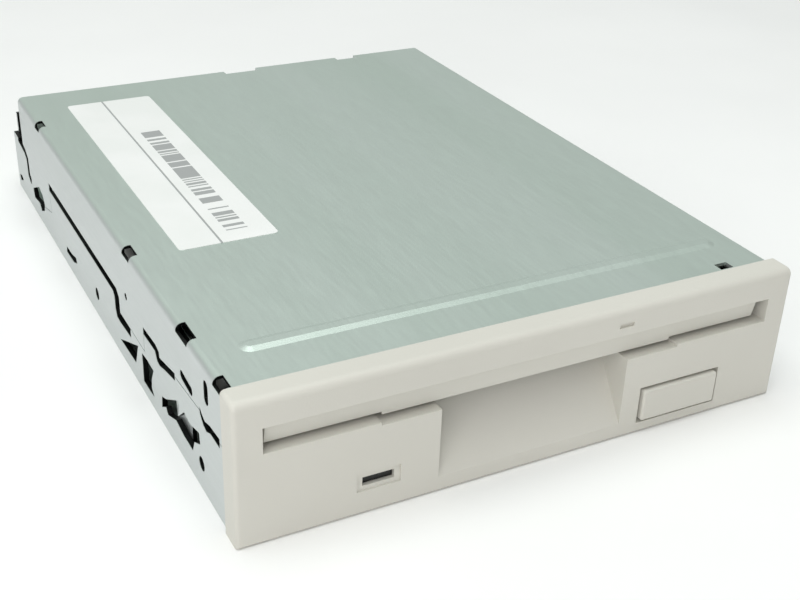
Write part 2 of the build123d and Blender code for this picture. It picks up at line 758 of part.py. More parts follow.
# Disk tray: top plate, side walls and the lips that carry the disk
TRAY_Y0 = at(8.2)
TRAY_Y1 = at(98.0)
TRAY_EAR_Y1 = at(107.0)
LIP_IN = TRAY_IN - 5.0
LIP_Y0 = at(18.0)
CUT_Y = at(70.0)
CUT_X0 = 3.6 - TRAY_IN
CUT_X1 = 14.0
WINDOW_X = TRAY_IN - 15.6
RIVET_R = 0.7
with BuildPart() as disk_tray:
    span(-TRAY_OUT, TRAY_OUT, TRAY_Y0, TRAY_Y1, BAY_TOP, TRAY_TOP)
    span(CUT_X1, CUT_X1 + 8, TRAY_Y1 - 1, TRAY_EAR_Y1, BAY_TOP, TRAY_TOP)
    span(CUT_X0, CUT_X1, CUT_Y, TRAY_Y1 + 1, BAY_TOP - 1, TRAY_TOP + 1, Mode.SUBTRACT)
    with BuildSketch(Plane.XY.offset(BAY_TOP)):
        with Locations((0, SPINDLE_Y)):
            Circle(9.0)
        with Locations((-WINDOW_X, at(40.0)), (WINDOW_X, at(40.0))):
            RectangleRounded(14, 22, 2)
    extrude(amount=TRAY_T, mode=Mode.SUBTRACT)
    for side in SIDES:
        span(side * TRAY_IN, side * TRAY_OUT, TRAY_Y0, TRAY_Y1, BAY_Z - TRAY_T, TRAY_TOP)
        span(side * LIP_IN, side * TRAY_OUT, LIP_Y0, TRAY_Y1, BAY_Z - TRAY_T, BAY_Z)
        for y in PIN_YS:
            rod_x(side * (TRAY_IN - 1), side * (TRAY_OUT + 1), y, PIN_Z, RIVET_R, Mode.SUBTRACT)
keep(disk_tray, "disk_tray")

# Guide pins riveted into the tray walls
with BuildPart() as tray_pins:
    for side in SIDES:
        for y in PIN_YS:
            rod_x(side * TRAY_IN, side * TRAY_OUT, y, PIN_Z, RIVET_R)
            rod_x(side * TRAY_OUT, side * (EAR_OUT - 0.1), y, PIN_Z, PIN_R)
keep(tray_pins, "tray_pins")

# Leaf springs that hold the disk down in the tray
LEAF_T = 0.2
with BuildPart() as hold_down_springs:
    for side in SIDES:
        leaf_x = side * WINDOW_X
        span(leaf_x - 6.0, leaf_x + 6.0, at(52.0), at(58.0), TRAY_TOP, TRAY_TOP + LEAF_T)
        span(leaf_x - 1.5, leaf_x + 1.5, at(33.0), at(52.5), TRAY_TOP, TRAY_TOP + LEAF_T)
keep(hold_down_springs, "hold_down_springs")

# Motor board under the front of the deck
BOARD_HALF = DECK_HALF - FRAME_T - 0.6
MOTOR_Y0 = at(8.0)
MOTOR_Y1 = at(80.0)
BOARD_HOLE_R = SCREW_SHANK_R + 0.3
with BuildPart() as motor_board:
    with BuildSketch(Plane.XY.offset(BOARD_Z)):
        with Locations((0, (MOTOR_Y0 + MOTOR_Y1) / 2)):
            Rectangle(2 * BOARD_HALF, MOTOR_Y1 - MOTOR_Y0)
        with Locations((BUTTON_X, MOTOR_Y0)):
            Rectangle(2 * NOTCH_W + 1.0, 2 * (BUTTON_L - 6.0), mode=Mode.SUBTRACT)
        with Locations((0, SPINDLE_Y)):
            Circle(BARREL_R, mode=Mode.SUBTRACT)
        with Locations(*[p for p in BOARD_SCREWS if p[1] < MOTOR_Y1]):
            Circle(BOARD_HOLE_R, mode=Mode.SUBTRACT)
    extrude(amount=BOARD_T)
keep(motor_board, "motor_board")

# Control board under the rear of the deck, open to the rear for its connectors
CONTROL_Y0 = at(96.0)
CONTROL_Y1 = REAR_Y - 1.2
DATA_ROW_YS = (at(130.0), at(132.54))
DATA_ROW_ZS = (DECK_Z + 4.5, DECK_Z + 4.5 - PITCH)
DATA_XS = [DATA_X + PITCH * (i - (DATA_COLS - 1) / 2) for i in range(DATA_COLS)]
POWER_X = BOARD_HALF - 12.9
POWER_XS = [POWER_X + POWER_PITCH * (i - (POWER_PINS - 1) / 2) for i in range(POWER_PINS)]
POWER_LEG_Y = at(133.0)
with BuildPart() as control_board:
    with BuildSketch(Plane.XY.offset(BOARD_Z)):
        with Locations((0, (CONTROL_Y0 + CONTROL_Y1) / 2)):
            Rectangle(2 * BOARD_HALF, CONTROL_Y1 - CONTROL_Y0)
        with Locations((SCREW_X, CAN_Y + CAN_L / 2)):
            Rectangle(2 * CAN_R + 2.0, CAN_L + 3.0, mode=Mode.SUBTRACT)
        with Locations(*[p for p in BOARD_SCREWS if p[1] > CONTROL_Y0]):
            Circle(BOARD_HOLE_R, mode=Mode.SUBTRACT)
        with Locations(*[(x, y) for x in DATA_XS for y in DATA_ROW_YS]):
            Rectangle(PIN_W, PIN_W, mode=Mode.SUBTRACT)
        with Locations(*[(x, POWER_LEG_Y) for x in POWER_XS]):
            Rectangle(PIN_W, PIN_W, mode=Mode.SUBTRACT)
    extrude(amount=BOARD_T)
keep(control_board, "control_board")

# Chips soldered under both boards
CHIP_T = 1.3
CHIPS = ((-20.0, at(112.0), 14.0, 14.0), (-2.0, at(106.0), 9.0, 7.0), (-20.0, at(22.0), 10.0, 7.0))
with BuildPart() as board_chips:
    for x, y, w, d in CHIPS:
        span(x - w / 2, x + w / 2, y - d / 2, y + d / 2, BOARD_Z - CHIP_T, BOARD_Z)
keep(board_chips, "board_chips")

# Screws that hold both boards to the deck
with BuildPart() as board_screws:
    for x, y in BOARD_SCREWS:
        post(x, y, BOARD_Z - 1.2, BOARD_Z, 1.9)
        post(x, y, BOARD_Z, DECK_TOP, SCREW_SHANK_R)
keep(board_screws, "board_screws")

# Data connector: a right-angle header of two rows
DATA_BODY_Y = (at(134.0), at(136.8))
PIN_TIP_Y = REAR_Y - 1.0
with BuildPart() as data_connector:
    span(DATA_XS[0] - 1.5, DATA_XS[-1] + 1.5, *DATA_BODY_Y, DECK_Z, DATA_ROW_ZS[0] + 1.5)
    for z in DATA_ROW_ZS:
        with Locations(*[(x, sum(DATA_BODY_Y) / 2, z) for x in DATA_XS]):
            Box(PIN_W, 9, PIN_W, mode=Mode.SUBTRACT)
keep(data_connector, "data_connector")

with BuildPart() as data_pins:
    for leg_y, z in zip(DATA_ROW_YS, DATA_ROW_ZS):
        with BuildSketch(Plane.YZ.offset(DATA_XS[0] - PIN_W / 2)):
            with BuildLine():
                Polyline(
                    (leg_y - PIN_W / 2, BOARD_Z - 0.6),
                    (leg_y - PIN_W / 2, z + PIN_W / 2),
                    (PIN_TIP_Y, z + PIN_W / 2),
                    (PIN_TIP_Y, z - PIN_W / 2),
                    (leg_y + PIN_W / 2, z - PIN_W / 2),
                    (leg_y + PIN_W / 2, BOARD_Z - 0.6),
                    close=True,
                )
            make_face()
        pin = extrude(amount=PIN_W, mode=Mode.PRIVATE)
        with Locations(*[(x - DATA_XS[0], 0, 0) for x in DATA_XS]):
            add(pin)
keep(data_pins, "data_pins")

# Power connector with its four pins
POWER_BODY_Y = (at(134.0), REAR_Y - 1.0)
POWER_Z = DECK_Z + 3.2
with BuildPart() as power_connector:
    span(POWER_XS[0] - 2.4, POWER_XS[-1] + 2.4, *POWER_BODY_Y, DECK_Z, POWER_Z + 3.0)
    span(
        POWER_XS[0] - 1.6,
        POWER_XS[-1] + 1.6,
        POWER_BODY_Y[0] + 2.6,
        REAR_Y,
        DECK_Z + 0.9,
        POWER_Z + 2.0,
        Mode.SUBTRACT,
    )
    with Locations(*[(x, POWER_BODY_Y[0], POWER_Z) for x in POWER_XS]):
        Box(PIN_W, 9, PIN_W, mode=Mode.SUBTRACT)
keep(power_connector, "power_connector")

with BuildPart() as power_pins:
    for x in POWER_XS:
        span(
            x - PIN_W / 2,
            x + PIN_W / 2,
            POWER_LEG_Y - PIN_W / 2,
            POWER_BODY_Y[1] - 0.8,
            POWER_Z - PIN_W / 2,
            POWER_Z + PIN_W / 2,
        )
        span(
            x - PIN_W / 2,
            x + PIN_W / 2,
            POWER_LEG_Y - PIN_W / 2,
            POWER_LEG_Y + PIN_W / 2,
            BOARD_Z - 0.6,
            POWER_Z,
        )
keep(power_pins, "power_pins")

# Spindle bearing pressed into the motor board
with BuildPart() as spindle_bearing:
    post(0, SPINDLE_Y, BOARD_Z, ROTOR_TOP - 1.1, BARREL_R)
    post(0, SPINDLE_Y, DECK_Z, DECK_Z + 0.4, 6.0)
    post(0, SPINDLE_Y, DECK_Z, CORE_Z, BARREL_R + 1.2)
    post(0, SPINDLE_Y, BOARD_Z - 1, ROTOR_TOP, SHAFT_R + SHAFT_FIT, Mode.SUBTRACT)
keep(spindle_bearing, "spindle_bearing")

# Stator core with its pole arms
ARM_W = 2.4
with BuildPart() as stator_core:
    with BuildSketch(Plane.XY.offset(CORE_Z)):
        with Locations((0, SPINDLE_Y)):
            Circle(CORE_R)
            Circle(CORE_R - 1.4, mode=Mode.SUBTRACT)
            with PolarLocations(CORE_R - 0.7, POLES, start_angle=180 / POLES):
                Rectangle(6.0, 2.6, mode=Mode.SUBTRACT)
            Circle(BARREL_R + 2.6)
            with PolarLocations((CORE_R + BARREL_R) / 2, POLES):
                Rectangle(CORE_R - BARREL_R - 1.6, ARM_W)
            Circle(BARREL_R, mode=Mode.SUBTRACT)
    extrude(amount=CORE_T)
keep(stator_core, "stator_core")

# One winding on each pole arm
COIL_L = 6.4
COIL_T = 0.6
with BuildPart() as stator_coils:
    with Locations((0, SPINDLE_Y, CORE_Z + CORE_T / 2)):
        with PolarLocations((CORE_R + BARREL_R) / 2 + 0.6, POLES):
            Box(COIL_L, ARM_W + 2 * COIL_T + 0.4, CORE_T + 2 * COIL_T)
            Box(COIL_L + 1, ARM_W, CORE_T, mode=Mode.SUBTRACT)
keep(stator_coils, "stator_coils")

# Turning parts of the spindle
with BuildPart() as rotor_cup:
    post(0, SPINDLE_Y, ROTOR_Z0, ROTOR_TOP, ROTOR_R)
    post(0, SPINDLE_Y, ROTOR_Z0 - 1, ROTOR_TOP - 0.8, ROTOR_R - ROTOR_WALL, Mode.SUBTRACT)
    post(0, SPINDLE_Y, ROTOR_Z0 - 1, ROTOR_TOP + 1, SHAFT_R, Mode.SUBTRACT)
keep(rotor_cup, "rotor_cup")

with BuildPart() as rotor_magnet:
    post(0, SPINDLE_Y, ROTOR_Z0 + 0.2, ROTOR_TOP - 0.8, ROTOR_R - ROTOR_WALL)
    post(0, SPINDLE_Y, ROTOR_Z0, ROTOR_TOP, ROTOR_R - ROTOR_WALL - MAGNET_T, Mode.SUBTRACT)
keep(rotor_magnet, "rotor_magnet")

DRIVE_PIN_AT = 10.0
DRIVE_PIN_R = 1.4
with BuildPart() as drive_hub:
    post(0, SPINDLE_Y, ROTOR_TOP, HUB_TOP - 0.8, HUB_R - 3.5)
    post(0, SPINDLE_Y, HUB_TOP - 0.8, HUB_TOP, HUB_R)
    post(0, SPINDLE_Y, ROTOR_TOP - 1, HUB_TOP + 1, SHAFT_R, Mode.SUBTRACT)
    post(DRIVE_PIN_AT, SPINDLE_Y, HUB_TOP - 1, HUB_TOP + 1, DRIVE_PIN_R, Mode.SUBTRACT)
keep(drive_hub, "drive_hub")

with BuildPart() as spindle_shaft:
    post(0, SPINDLE_Y, BOARD_Z + 0.2, HUB_TOP + 1.4, SHAFT_R)
    chamfer(spindle_shaft.edges().sort_by(Axis.Z)[-1], length=0.5)
keep(spindle_shaft, "spindle_shaft")

with BuildPart() as drive_pin:
    post(DRIVE_PIN_AT, SPINDLE_Y, HUB_TOP - 0.8, HUB_TOP + 1.2, DRIVE_PIN_R)
keep(drive_pin, "drive_pin")

# Stepper motor with its lead screw
with BuildPart() as stepper_can:
    rod_y(SCREW_X, CAN_Y, CAN_Y + CAN_L, SCREW_Z, CAN_R)
    rod_y(SCREW_X, CAN_Y + 1.0, CAN_Y + CAN_L - 1.0, SCREW_Z, CAN_R - 0.8, Mode.SUBTRACT)
    rod_y(SCREW_X, CAN_Y - 1.0, CAN_Y + CAN_L + 1, SCREW_Z, SCREW_R + SHAFT_FIT, Mode.SUBTRACT)
keep(stepper_can, "stepper_can")

with BuildPart() as stepper_bracket:
    span(
        SCREW_X - CAN_R - 2.0,
        SCREW_X + CAN_R + 2.0,
        CAN_Y - BRACKET_T,
        CAN_Y,
        DECK_TOP,
        SCREW_Z + CAN_R - 1.0,
    )
    for side in SIDES:
        span(
            SCREW_X + side * 3.5,
            SCREW_X + side * (CAN_R + 2.0),
            CAN_Y - 6.0,
            CAN_Y,
            DECK_TOP,
            DECK_TOP + BRACKET_T,
        )
    rod_y(SCREW_X, CAN_Y - 2, CAN_Y + 1, SCREW_Z, SCREW_R + 0.3, Mode.SUBTRACT)
    for side in SIDES:
        post(SCREW_X + side * 6.0, CAN_Y - 3.5, DECK_TOP - 1, DECK_TOP + 2, 0.8, Mode.SUBTRACT)
keep(stepper_bracket, "stepper_bracket")

with BuildPart() as lead_screw:
    rod_y(SCREW_X, SCREW_Y0, CAN_Y + CAN_L - 0.4, SCREW_Z, SCREW_R)
keep(lead_screw, "lead_screw")

with BuildPart() as stepper_rotor:
    rod_y(SCREW_X, CAN_Y + 1.5, CAN_Y + CAN_L - 1.5, SCREW_Z, CAN_R - 1.8)
    rod_y(SCREW_X, CAN_Y, CAN_Y + CAN_L, SCREW_Z, SCREW_R, Mode.SUBTRACT)
keep(stepper_rotor, "stepper_rotor")

with BuildPart() as screw_end_bearing:
    span(SCREW_X - 3.0, SCREW_X + 3.0, SCREW_Y0 - 1.2, SCREW_Y0 + 2.0, DECK_TOP, SCREW_Z + 2.6)
    rod_y(SCREW_X, SCREW_Y0 - 0.1, SCREW_Y0 + 3.0, SCREW_Z, SCREW_R + SHAFT_FIT, Mode.SUBTRACT)
keep(screw_end_bearing, "screw_end_bearing")

# Guide rod in its two clips
with BuildPart() as guide_rod:
    rod_y(ROD_X, ROD_Y0, ROD_Y1, ROD_Z, ROD_R)
keep(guide_rod, "guide_rod")

with BuildPart() as rod_clips:
    for y in (ROD_Y0, ROD_Y1 - CLIP_L):
        span(ROD_X - 6.0, ROD_X + 2.6, y, y + CLIP_L, DECK_TOP, DECK_TOP + 1.2)
        span(ROD_X - 2.6, ROD_X + 2.6, y, y + CLIP_L, DECK_TOP, ROD_Z + 2.4)
        rod_y(ROD_X, y - 1, y + CLIP_L + 1, ROD_Z, ROD_R, Mode.SUBTRACT)
        post(ROD_X - 4.6, y + CLIP_L / 2, DECK_TOP - 1, DECK_TOP + 3, 0.8, Mode.SUBTRACT)
keep(rod_clips, "rod_clips")

# Screws of the bracket and the rod clips
with BuildPart() as mechanism_screws:
    for side in SIDES:
        x = SCREW_X + side * 6.0
        post(x, CAN_Y - 3.5, DECK_TOP, DECK_TOP + BRACKET_T, 0.8)
        post(x, CAN_Y - 3.5, DECK_TOP + BRACKET_T, DECK_TOP + BRACKET_T + 1.0, 1.3)
    for y in (ROD_Y0, ROD_Y1 - CLIP_L):
        post(ROD_X - 4.6, y + CLIP_L / 2, DECK_TOP, DECK_TOP + 1.2, 0.8)
        post(ROD_X - 4.6, y + CLIP_L / 2, DECK_TOP + 1.2, DECK_TOP + 2.2, 1.25)
keep(mechanism_screws, "mechanism_screws")

# Head carriage with its nose, spine and hinge cheeks
BLOCK_Y0 = HEAD_Y - 0.4
BLOCK_Y1 = HEAD_Y + 12.0
NOSE_Z = ROTOR_TOP + 0.7
SPINE_HALF = 6.5
SPINE_Y1 = ARM_PIVOT_Y + 3.0
BUSH_R = 2.0
FLAG_X = -26.0
with BuildPart() as head_carriage:
    span(ROD_X - 3.6, SCREW_X - SCREW_R - 1.2, BLOCK_Y0, BLOCK_Y1, CARRIAGE_Z0, CARRIAGE_Z1)
    span(-ARM_HALF, ARM_HALF, HEAD_Y - 5.0, BLOCK_Y1, NOSE_Z, CARRIAGE_Z1)
    span(-SPINE_HALF, SPINE_HALF, BLOCK_Y0, SPINE_Y1, NOSE_Z, CARRIAGE_Z1)
    for side in SIDES:
        span(
            side * (SPINE_HALF - 1.6),
            side * SPINE_HALF,
            ARM_PIVOT_Y - 2.4,
            ARM_PIVOT_Y + 2.4,
            CARRIAGE_Z1,
            ARM_PIVOT_Z + 1.8,
        )
    rod_x(-SPINE_HALF - 1, SPINE_HALF + 1, ARM_PIVOT_Y, ARM_PIVOT_Z, ARM_PIN_R, Mode.SUBTRACT)
    rod_y(ROD_X, BLOCK_Y0 - 1, BLOCK_Y1 + 1, ROD_Z, BUSH_R, Mode.SUBTRACT)
    # Flag of the track-zero sensor
    span(FLAG_X, ROD_X - 3.0, BLOCK_Y0 + 0.4, BLOCK_Y0 + 3.4, ROD_Z - 0.4, ROD_Z + 0.4)
keep(head_carriage, "head_carriage")

with BuildPart() as carriage_bush:
    rod_y(ROD_X, BLOCK_Y0, BLOCK_Y1, ROD_Z, BUSH_R)
    rod_y(ROD_X, BLOCK_Y0 - 1, BLOCK_Y1 + 1, ROD_Z, ROD_R + SHAFT_FIT, Mode.SUBTRACT)
keep(carriage_bush, "carriage_bush")

with BuildPart() as lower_head:
    span(
        -HEAD_SIZE / 2,
        HEAD_SIZE / 2,
        HEAD_Y - HEAD_SIZE / 2,
        HEAD_Y + HEAD_SIZE / 2,
        CARRIAGE_Z1,
        MEDIA_Z - HEAD_GAP,
    )
    fillet(lower_head.edges().filter_by(Axis.Z), radius=1.2)
keep(lower_head, "lower_head")

# Follower: a leaf on the carriage whose needle runs on the lead screw
FOLLOWER_Y = HEAD_Y + 6.0
with BuildPart() as screw_follower:
    span(
        SCREW_X - SCREW_R - 4.2,
        SCREW_X + 0.8,
        FOLLOWER_Y - 2.5,
        FOLLOWER_Y + 2.5,
        CARRIAGE_Z1,
        CARRIAGE_Z1 + 0.6,
    )
    span(
        SCREW_X - 0.5,
        SCREW_X + 0.5,
        FOLLOWER_Y - 0.5,
        FOLLOWER_Y + 0.5,
        SCREW_Z + SCREW_R + 0.1,
        CARRIAGE_Z1 + 0.3,
    )
keep(screw_follower, "screw_follower")

# Upper arm in its raised position, with the tongue that rests on the tray
RAISED = Plane(
    origin=(0, ARM_PIVOT_Y, ARM_PIVOT_Z),
    x_dir=(1, 0, 0),
    z_dir=(0, math.sin(math.radians(ARM_ANGLE)), math.cos(math.radians(ARM_ANGLE))),
)
LIFT_AT = TRAY_DROP / math.sin(math.radians(ARM_ANGLE))
LIFT_H = 2.5
LUG_IN = 2.6
LUG_OUT = SPINE_HALF - 1.6 - 0.2
with BuildPart() as upper_arm:
    with BuildSketch(RAISED.offset(-ARM_T / 2)):
        with BuildLine():
            Polyline(
                (-ARM_HALF, -5.0),
                (-ARM_HALF, -ARM_LEN + 6.0),
                (-ARM_HALF + 1.6, -ARM_LEN - ARM_NOSE),
                (ARM_HALF - 1.6, -ARM_LEN - ARM_NOSE),
                (ARM_HALF, -ARM_LEN + 6.0),
                (ARM_HALF, -5.0),
                close=True,
            )
        make_face()
        with Locations((0, -ARM_LEN / 2 + 1.0)):
            RectangleRounded(5.0, 9.0, 1.0, mode=Mode.SUBTRACT)
    extrude(amount=ARM_T)
    # Lugs round the pivot pin
    with BuildSketch(RAISED.offset(-ARM_T / 2)):
        for side in SIDES:
            with Locations((side * (LUG_IN + LUG_OUT) / 2, -2.2)):
                Rectangle(LUG_OUT - LUG_IN, 6.4)
    extrude(amount=ARM_T)
    for side in SIDES:
        rod_x(side * LUG_IN, side * LUG_OUT, ARM_PIVOT_Y, ARM_PIVOT_Z, ARM_PIN_R + 0.8)
    rod_x(-10, 10, ARM_PIVOT_Y, ARM_PIVOT_Z, ARM_PIN_R + 0.05, Mode.SUBTRACT)
    # Lifting tongue
    with BuildSketch(RAISED.offset(-ARM_T / 2)):
        with Locations((ARM_HALF - 0.4, -LIFT_AT)):
            Rectangle(0.8, 4.0)
    extrude(amount=ARM_T / 2 + LIFT_H + 0.8)
    with BuildSketch(RAISED.offset(LIFT_H)):
        with Locations(((ARM_HALF + CUT_X1 + 3.0) / 2 - 0.4, -LIFT_AT)):
            Rectangle(CUT_X1 + 3.0 - ARM_HALF + 0.8, 4.0)
    extrude(amount=0.8)
keep(upper_arm, "upper_arm")

with BuildPart() as upper_head:
    with BuildSketch(RAISED.offset(-ARM_T / 2)):
        with Locations((0, -ARM_LEN)):
            RectangleRounded(HEAD_SIZE, HEAD_SIZE, 1.2)
    extrude(amount=-(ARM_PIVOT_Z - ARM_T / 2 - MEDIA_Z - HEAD_GAP))
keep(upper_head, "upper_head")

with BuildPart() as arm_pin:
    rod_x(-SPINE_HALF, SPINE_HALF, ARM_PIVOT_Y, ARM_PIVOT_Z, ARM_PIN_R)
keep(arm_pin, "arm_pin")

with BuildPart() as arm_spring:
    rod_x(-LUG_IN + 0.4, LUG_IN - 0.4, ARM_PIVOT_Y, ARM_PIVOT_Z, ARM_PIN_R + 0.8)
    rod_x(-LUG_IN, LUG_IN, ARM_PIVOT_Y, ARM_PIVOT_Z, ARM_PIN_R + 0.1, Mode.SUBTRACT)
keep(arm_spring, "arm_spring")

# Ribbon from the spine of the carriage down to the control board
RIBBON_T = 0.2
RIBBON_HALF = 3.5
RIBBON_Y1 = at(127.2)
with BuildPart() as head_ribbon:
    span(
        -RIBBON_HALF,
        RIBBON_HALF,
        SPINE_Y1 - 8.0,
        RIBBON_Y1,
        NOSE_Z - RIBBON_T,
        NOSE_Z,
    )
    span(-RIBBON_HALF, RIBBON_HALF, RIBBON_Y1 - RIBBON_T, RIBBON_Y1, DECK_TOP, NOSE_Z)
    span(-RIBBON_HALF, RIBBON_HALF, RIBBON_Y1 - 8.0, RIBBON_Y1, DECK_TOP, DECK_TOP + RIBBON_T)
keep(head_ribbon, "head_ribbon")

# Track-zero sensor: a light gate that the flag of the carriage enters
with BuildPart() as track_zero_sensor:
    span(FLAG_X - 4.0, FLAG_X + 3.4, BLOCK_Y0 - 1.2, BLOCK_Y0 + 5.0, DECK_TOP, ROD_Z + 2.6)
    span(
        FLAG_X - 1.0,
        FLAG_X + 5.0,
        BLOCK_Y0 - 3.0,
        BLOCK_Y0 + 7.0,
        ROD_Z - 1.0,
        ROD_Z + 1.0,
        Mode.SUBTRACT,
    )
keep(track_zero_sensor, "track_zero_sensor")

# Trigger lever at the rear left, on its post
LEVER_POST_R = 1.5
LEVER_Z0 = BAY_Z + 0.5
LEVER_Z1 = LEVER_Z0 + 2.0
LEVER_LEN = 25.0
LEVER_REST = -39.0
with BuildPart() as lever_post:
    post(LEVER_X, LEVER_Y, DECK_TOP, DECK_TOP + 1.0, 3.4)
    post(LEVER_X, LEVER_Y, DECK_TOP, LEVER_Z0 - 2.6, LEVER_POST_R + 0.9)
    post(LEVER_X, LEVER_Y, DECK_TOP, LEVER_Z1 + 0.8, LEVER_POST_R)
keep(lever_post, "lever_post")

with BuildPart() as lever_spring:
    post(LEVER_X, LEVER_Y, LEVER_Z0 - 2.6, LEVER_Z0 - 0.3, LEVER_POST_R + 0.9)
    post(LEVER_X, LEVER_Y, LEVER_Z0 - 4, LEVER_Z0 + 1, LEVER_POST_R + 0.1, Mode.SUBTRACT)
keep(lever_spring, "lever_spring")

LEVER_PLANE = Plane(
    origin=(LEVER_X, LEVER_Y, LEVER_Z0),
    x_dir=(math.cos(math.radians(LEVER_REST)), math.sin(math.radians(LEVER_REST)), 0),
    z_dir=(0, 0, 1),
)
with BuildPart() as trigger_lever:
    with BuildSketch(LEVER_PLANE):
        Circle(3.2)
        with BuildLine():
            Polyline(
                (-7.0, -1.0),
                (0.0, -2.4),
                (LEVER_LEN, -1.2),
                (LEVER_LEN, 1.2),
                (0.0, 2.4),
                (-7.0, 1.0),
                close=True,
            )
        make_face()
        with Locations((LEVER_LEN, 0)):
            Circle(1.5)
        Circle(LEVER_POST_R + 0.06, mode=Mode.SUBTRACT)
    extrude(amount=LEVER_Z1 - LEVER_Z0)
keep(trigger_lever, "trigger_lever")

# Sensing switches at the front corners, each with its plunger
SWITCH_W = 4.8
SWITCH_D = 6.0
SWITCH_TOP = 10.0
PLUNGER_W = 1.8
PLUNGER_TOP = BAY_Z - TRAY_DROP + 1.0
PLUNGER_FOOT = SWITCH_TOP - 2.4
SWITCH_NAMES = ("write_protect", "disk_in", "density")


def switch_body(x):
    """Body of one switch, with its two legs and the well of its plunger."""
    span(
        x - SWITCH_W / 2,
        x + SWITCH_W / 2,
        SWITCH_Y - SWITCH_D / 2,
        SWITCH_Y + SWITCH_D / 2,
        DECK_TOP,
        SWITCH_TOP,
    )
    for side in SIDES:
        span(x - 0.3, x + 0.3, SWITCH_Y + side * 1.2, SWITCH_Y + side * 1.8, DECK_Z, DECK_TOP)
    span(
        x - PLUNGER_W / 2 - 0.1,
        x + PLUNGER_W / 2 + 0.1,
        SWITCH_Y - PLUNGER_W / 2 - 0.1,
        SWITCH_Y + PLUNGER_W / 2 + 0.1,
        PLUNGER_FOOT - PLUNGER_TRAVEL - 0.1,
        SWITCH_TOP + 1,
        Mode.SUBTRACT,
    )


def switch_plunger(x):
    """Plunger of one switch in its upper position."""
    span(
        x - PLUNGER_W / 2,
        x + PLUNGER_W / 2,
        SWITCH_Y - PLUNGER_W / 2,
        SWITCH_Y + PLUNGER_W / 2,
        PLUNGER_FOOT,
        PLUNGER_TOP,
    )


for switch_x, switch_name in zip(SWITCH_XS, SWITCH_NAMES):
    with BuildPart() as switch:
        switch_body(switch_x)
    keep(switch, f"{switch_name}_switch")
    with BuildPart() as plunger:
        switch_plunger(switch_x)
    keep(plunger, f"{switch_name}_plunger")
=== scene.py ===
# %% [markdown]
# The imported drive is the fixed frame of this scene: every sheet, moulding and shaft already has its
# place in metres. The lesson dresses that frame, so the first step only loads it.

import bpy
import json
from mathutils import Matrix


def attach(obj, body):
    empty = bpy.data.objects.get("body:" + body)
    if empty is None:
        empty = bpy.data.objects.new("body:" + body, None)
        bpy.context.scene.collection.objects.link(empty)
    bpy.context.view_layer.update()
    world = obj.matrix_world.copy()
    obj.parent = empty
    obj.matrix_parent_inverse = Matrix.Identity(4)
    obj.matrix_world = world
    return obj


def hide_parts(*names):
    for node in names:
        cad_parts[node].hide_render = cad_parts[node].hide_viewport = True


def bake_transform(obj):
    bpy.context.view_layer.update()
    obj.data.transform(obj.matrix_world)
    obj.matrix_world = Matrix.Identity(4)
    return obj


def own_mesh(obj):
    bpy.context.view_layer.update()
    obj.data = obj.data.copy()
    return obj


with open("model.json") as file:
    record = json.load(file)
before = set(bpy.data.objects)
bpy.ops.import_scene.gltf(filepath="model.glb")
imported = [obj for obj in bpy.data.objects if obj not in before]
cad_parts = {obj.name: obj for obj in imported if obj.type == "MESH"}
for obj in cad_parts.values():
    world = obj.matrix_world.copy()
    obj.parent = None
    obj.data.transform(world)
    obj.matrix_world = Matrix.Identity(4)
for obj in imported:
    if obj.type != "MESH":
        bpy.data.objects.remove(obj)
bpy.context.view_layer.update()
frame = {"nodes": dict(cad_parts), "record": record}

# %% [markdown]
# The photograph looks at the bezel from the left and from above. Its camera was found by fitting the
# corners of the bezel and the cover, whose real sizes are known. A camera that is set by place, turn
# and lens repeats that view exactly, where one aimed at the middle by eye would only come near it.

# %% Camera at the photograph's view
import bpy
import bmesh
import json
import math
from mathutils import Matrix, Vector

MM = 0.001
CAMERA_MM = (-97.25, -206.09, 119.89)
CAMERA_TURN_DEG = (61.164, -1.832, -27.299)
LENS_MM = 55.47

camera = bpy.data.objects.new("camera", bpy.data.cameras.new("camera"))
bpy.context.scene.collection.objects.link(camera)
camera.location = [place * MM for place in CAMERA_MM]
camera.rotation_euler = [math.radians(turn) for turn in CAMERA_TURN_DEG]
camera.data.lens = LENS_MM
camera.data.clip_start = 0.01
bpy.context.scene.camera = camera
bpy.context.scene.view_settings.view_transform = "Standard"
print("camera lens", camera.data.lens, "mm")

# %% [markdown]
# A catalogue picture is taken on a wide sweep of white paper. A large flat grid takes its place here.
# It rides on no body, so it belongs to the picture and not to the drive.

# %% Floor
FLOOR_HALF_M = 6.0


def piece_from(shape, name):
    """Turn a finished bmesh into an object of the scene."""
    mesh = bpy.data.meshes.new(name)
    shape.to_mesh(mesh)
    shape.free()
    made = bpy.data.objects.new(name, mesh)
    bpy.context.scene.collection.objects.link(made)
    return made


shape = bmesh.new()
bmesh.ops.create_grid(shape, x_segments=2, y_segments=2, size=FLOOR_HALF_M)
floor = piece_from(shape, "studio_floor")
print("floor", tuple(floor.dimensions), "metres")

# %% [markdown]
# Sheet metal mirrors the room it stands in. In such a picture it faces a white backdrop, and the room
# behind the camera stays darker. A world whose strength follows the direction gives both.

# %% Room
GLOW_BEHIND = 0.15
GLOW_AHEAD = 0.6


def hex_colour(code):
    """Linear colour of an sRGB hex value."""
    shares = [int(code[i : i + 2], 16) / 255 for i in (1, 3, 5)]
    return tuple(s / 12.92 if s <= 0.04045 else ((s + 0.055) / 1.055) ** 2.4 for s in shares) + (1.0,)


def add_node(owner, kind, inputs=(), **settings):
    """Add a node, set its properties, and fill its inputs with values or other nodes' outputs."""
    made = owner.node_tree.nodes.new(kind)
    for name, value in settings.items():
        setattr(made, name, value)
    for name, value in dict(inputs).items():
        if isinstance(value, bpy.types.NodeSocket):
            owner.node_tree.links.new(value, made.inputs[name])
        else:
            made.inputs[name].default_value = value
    return made


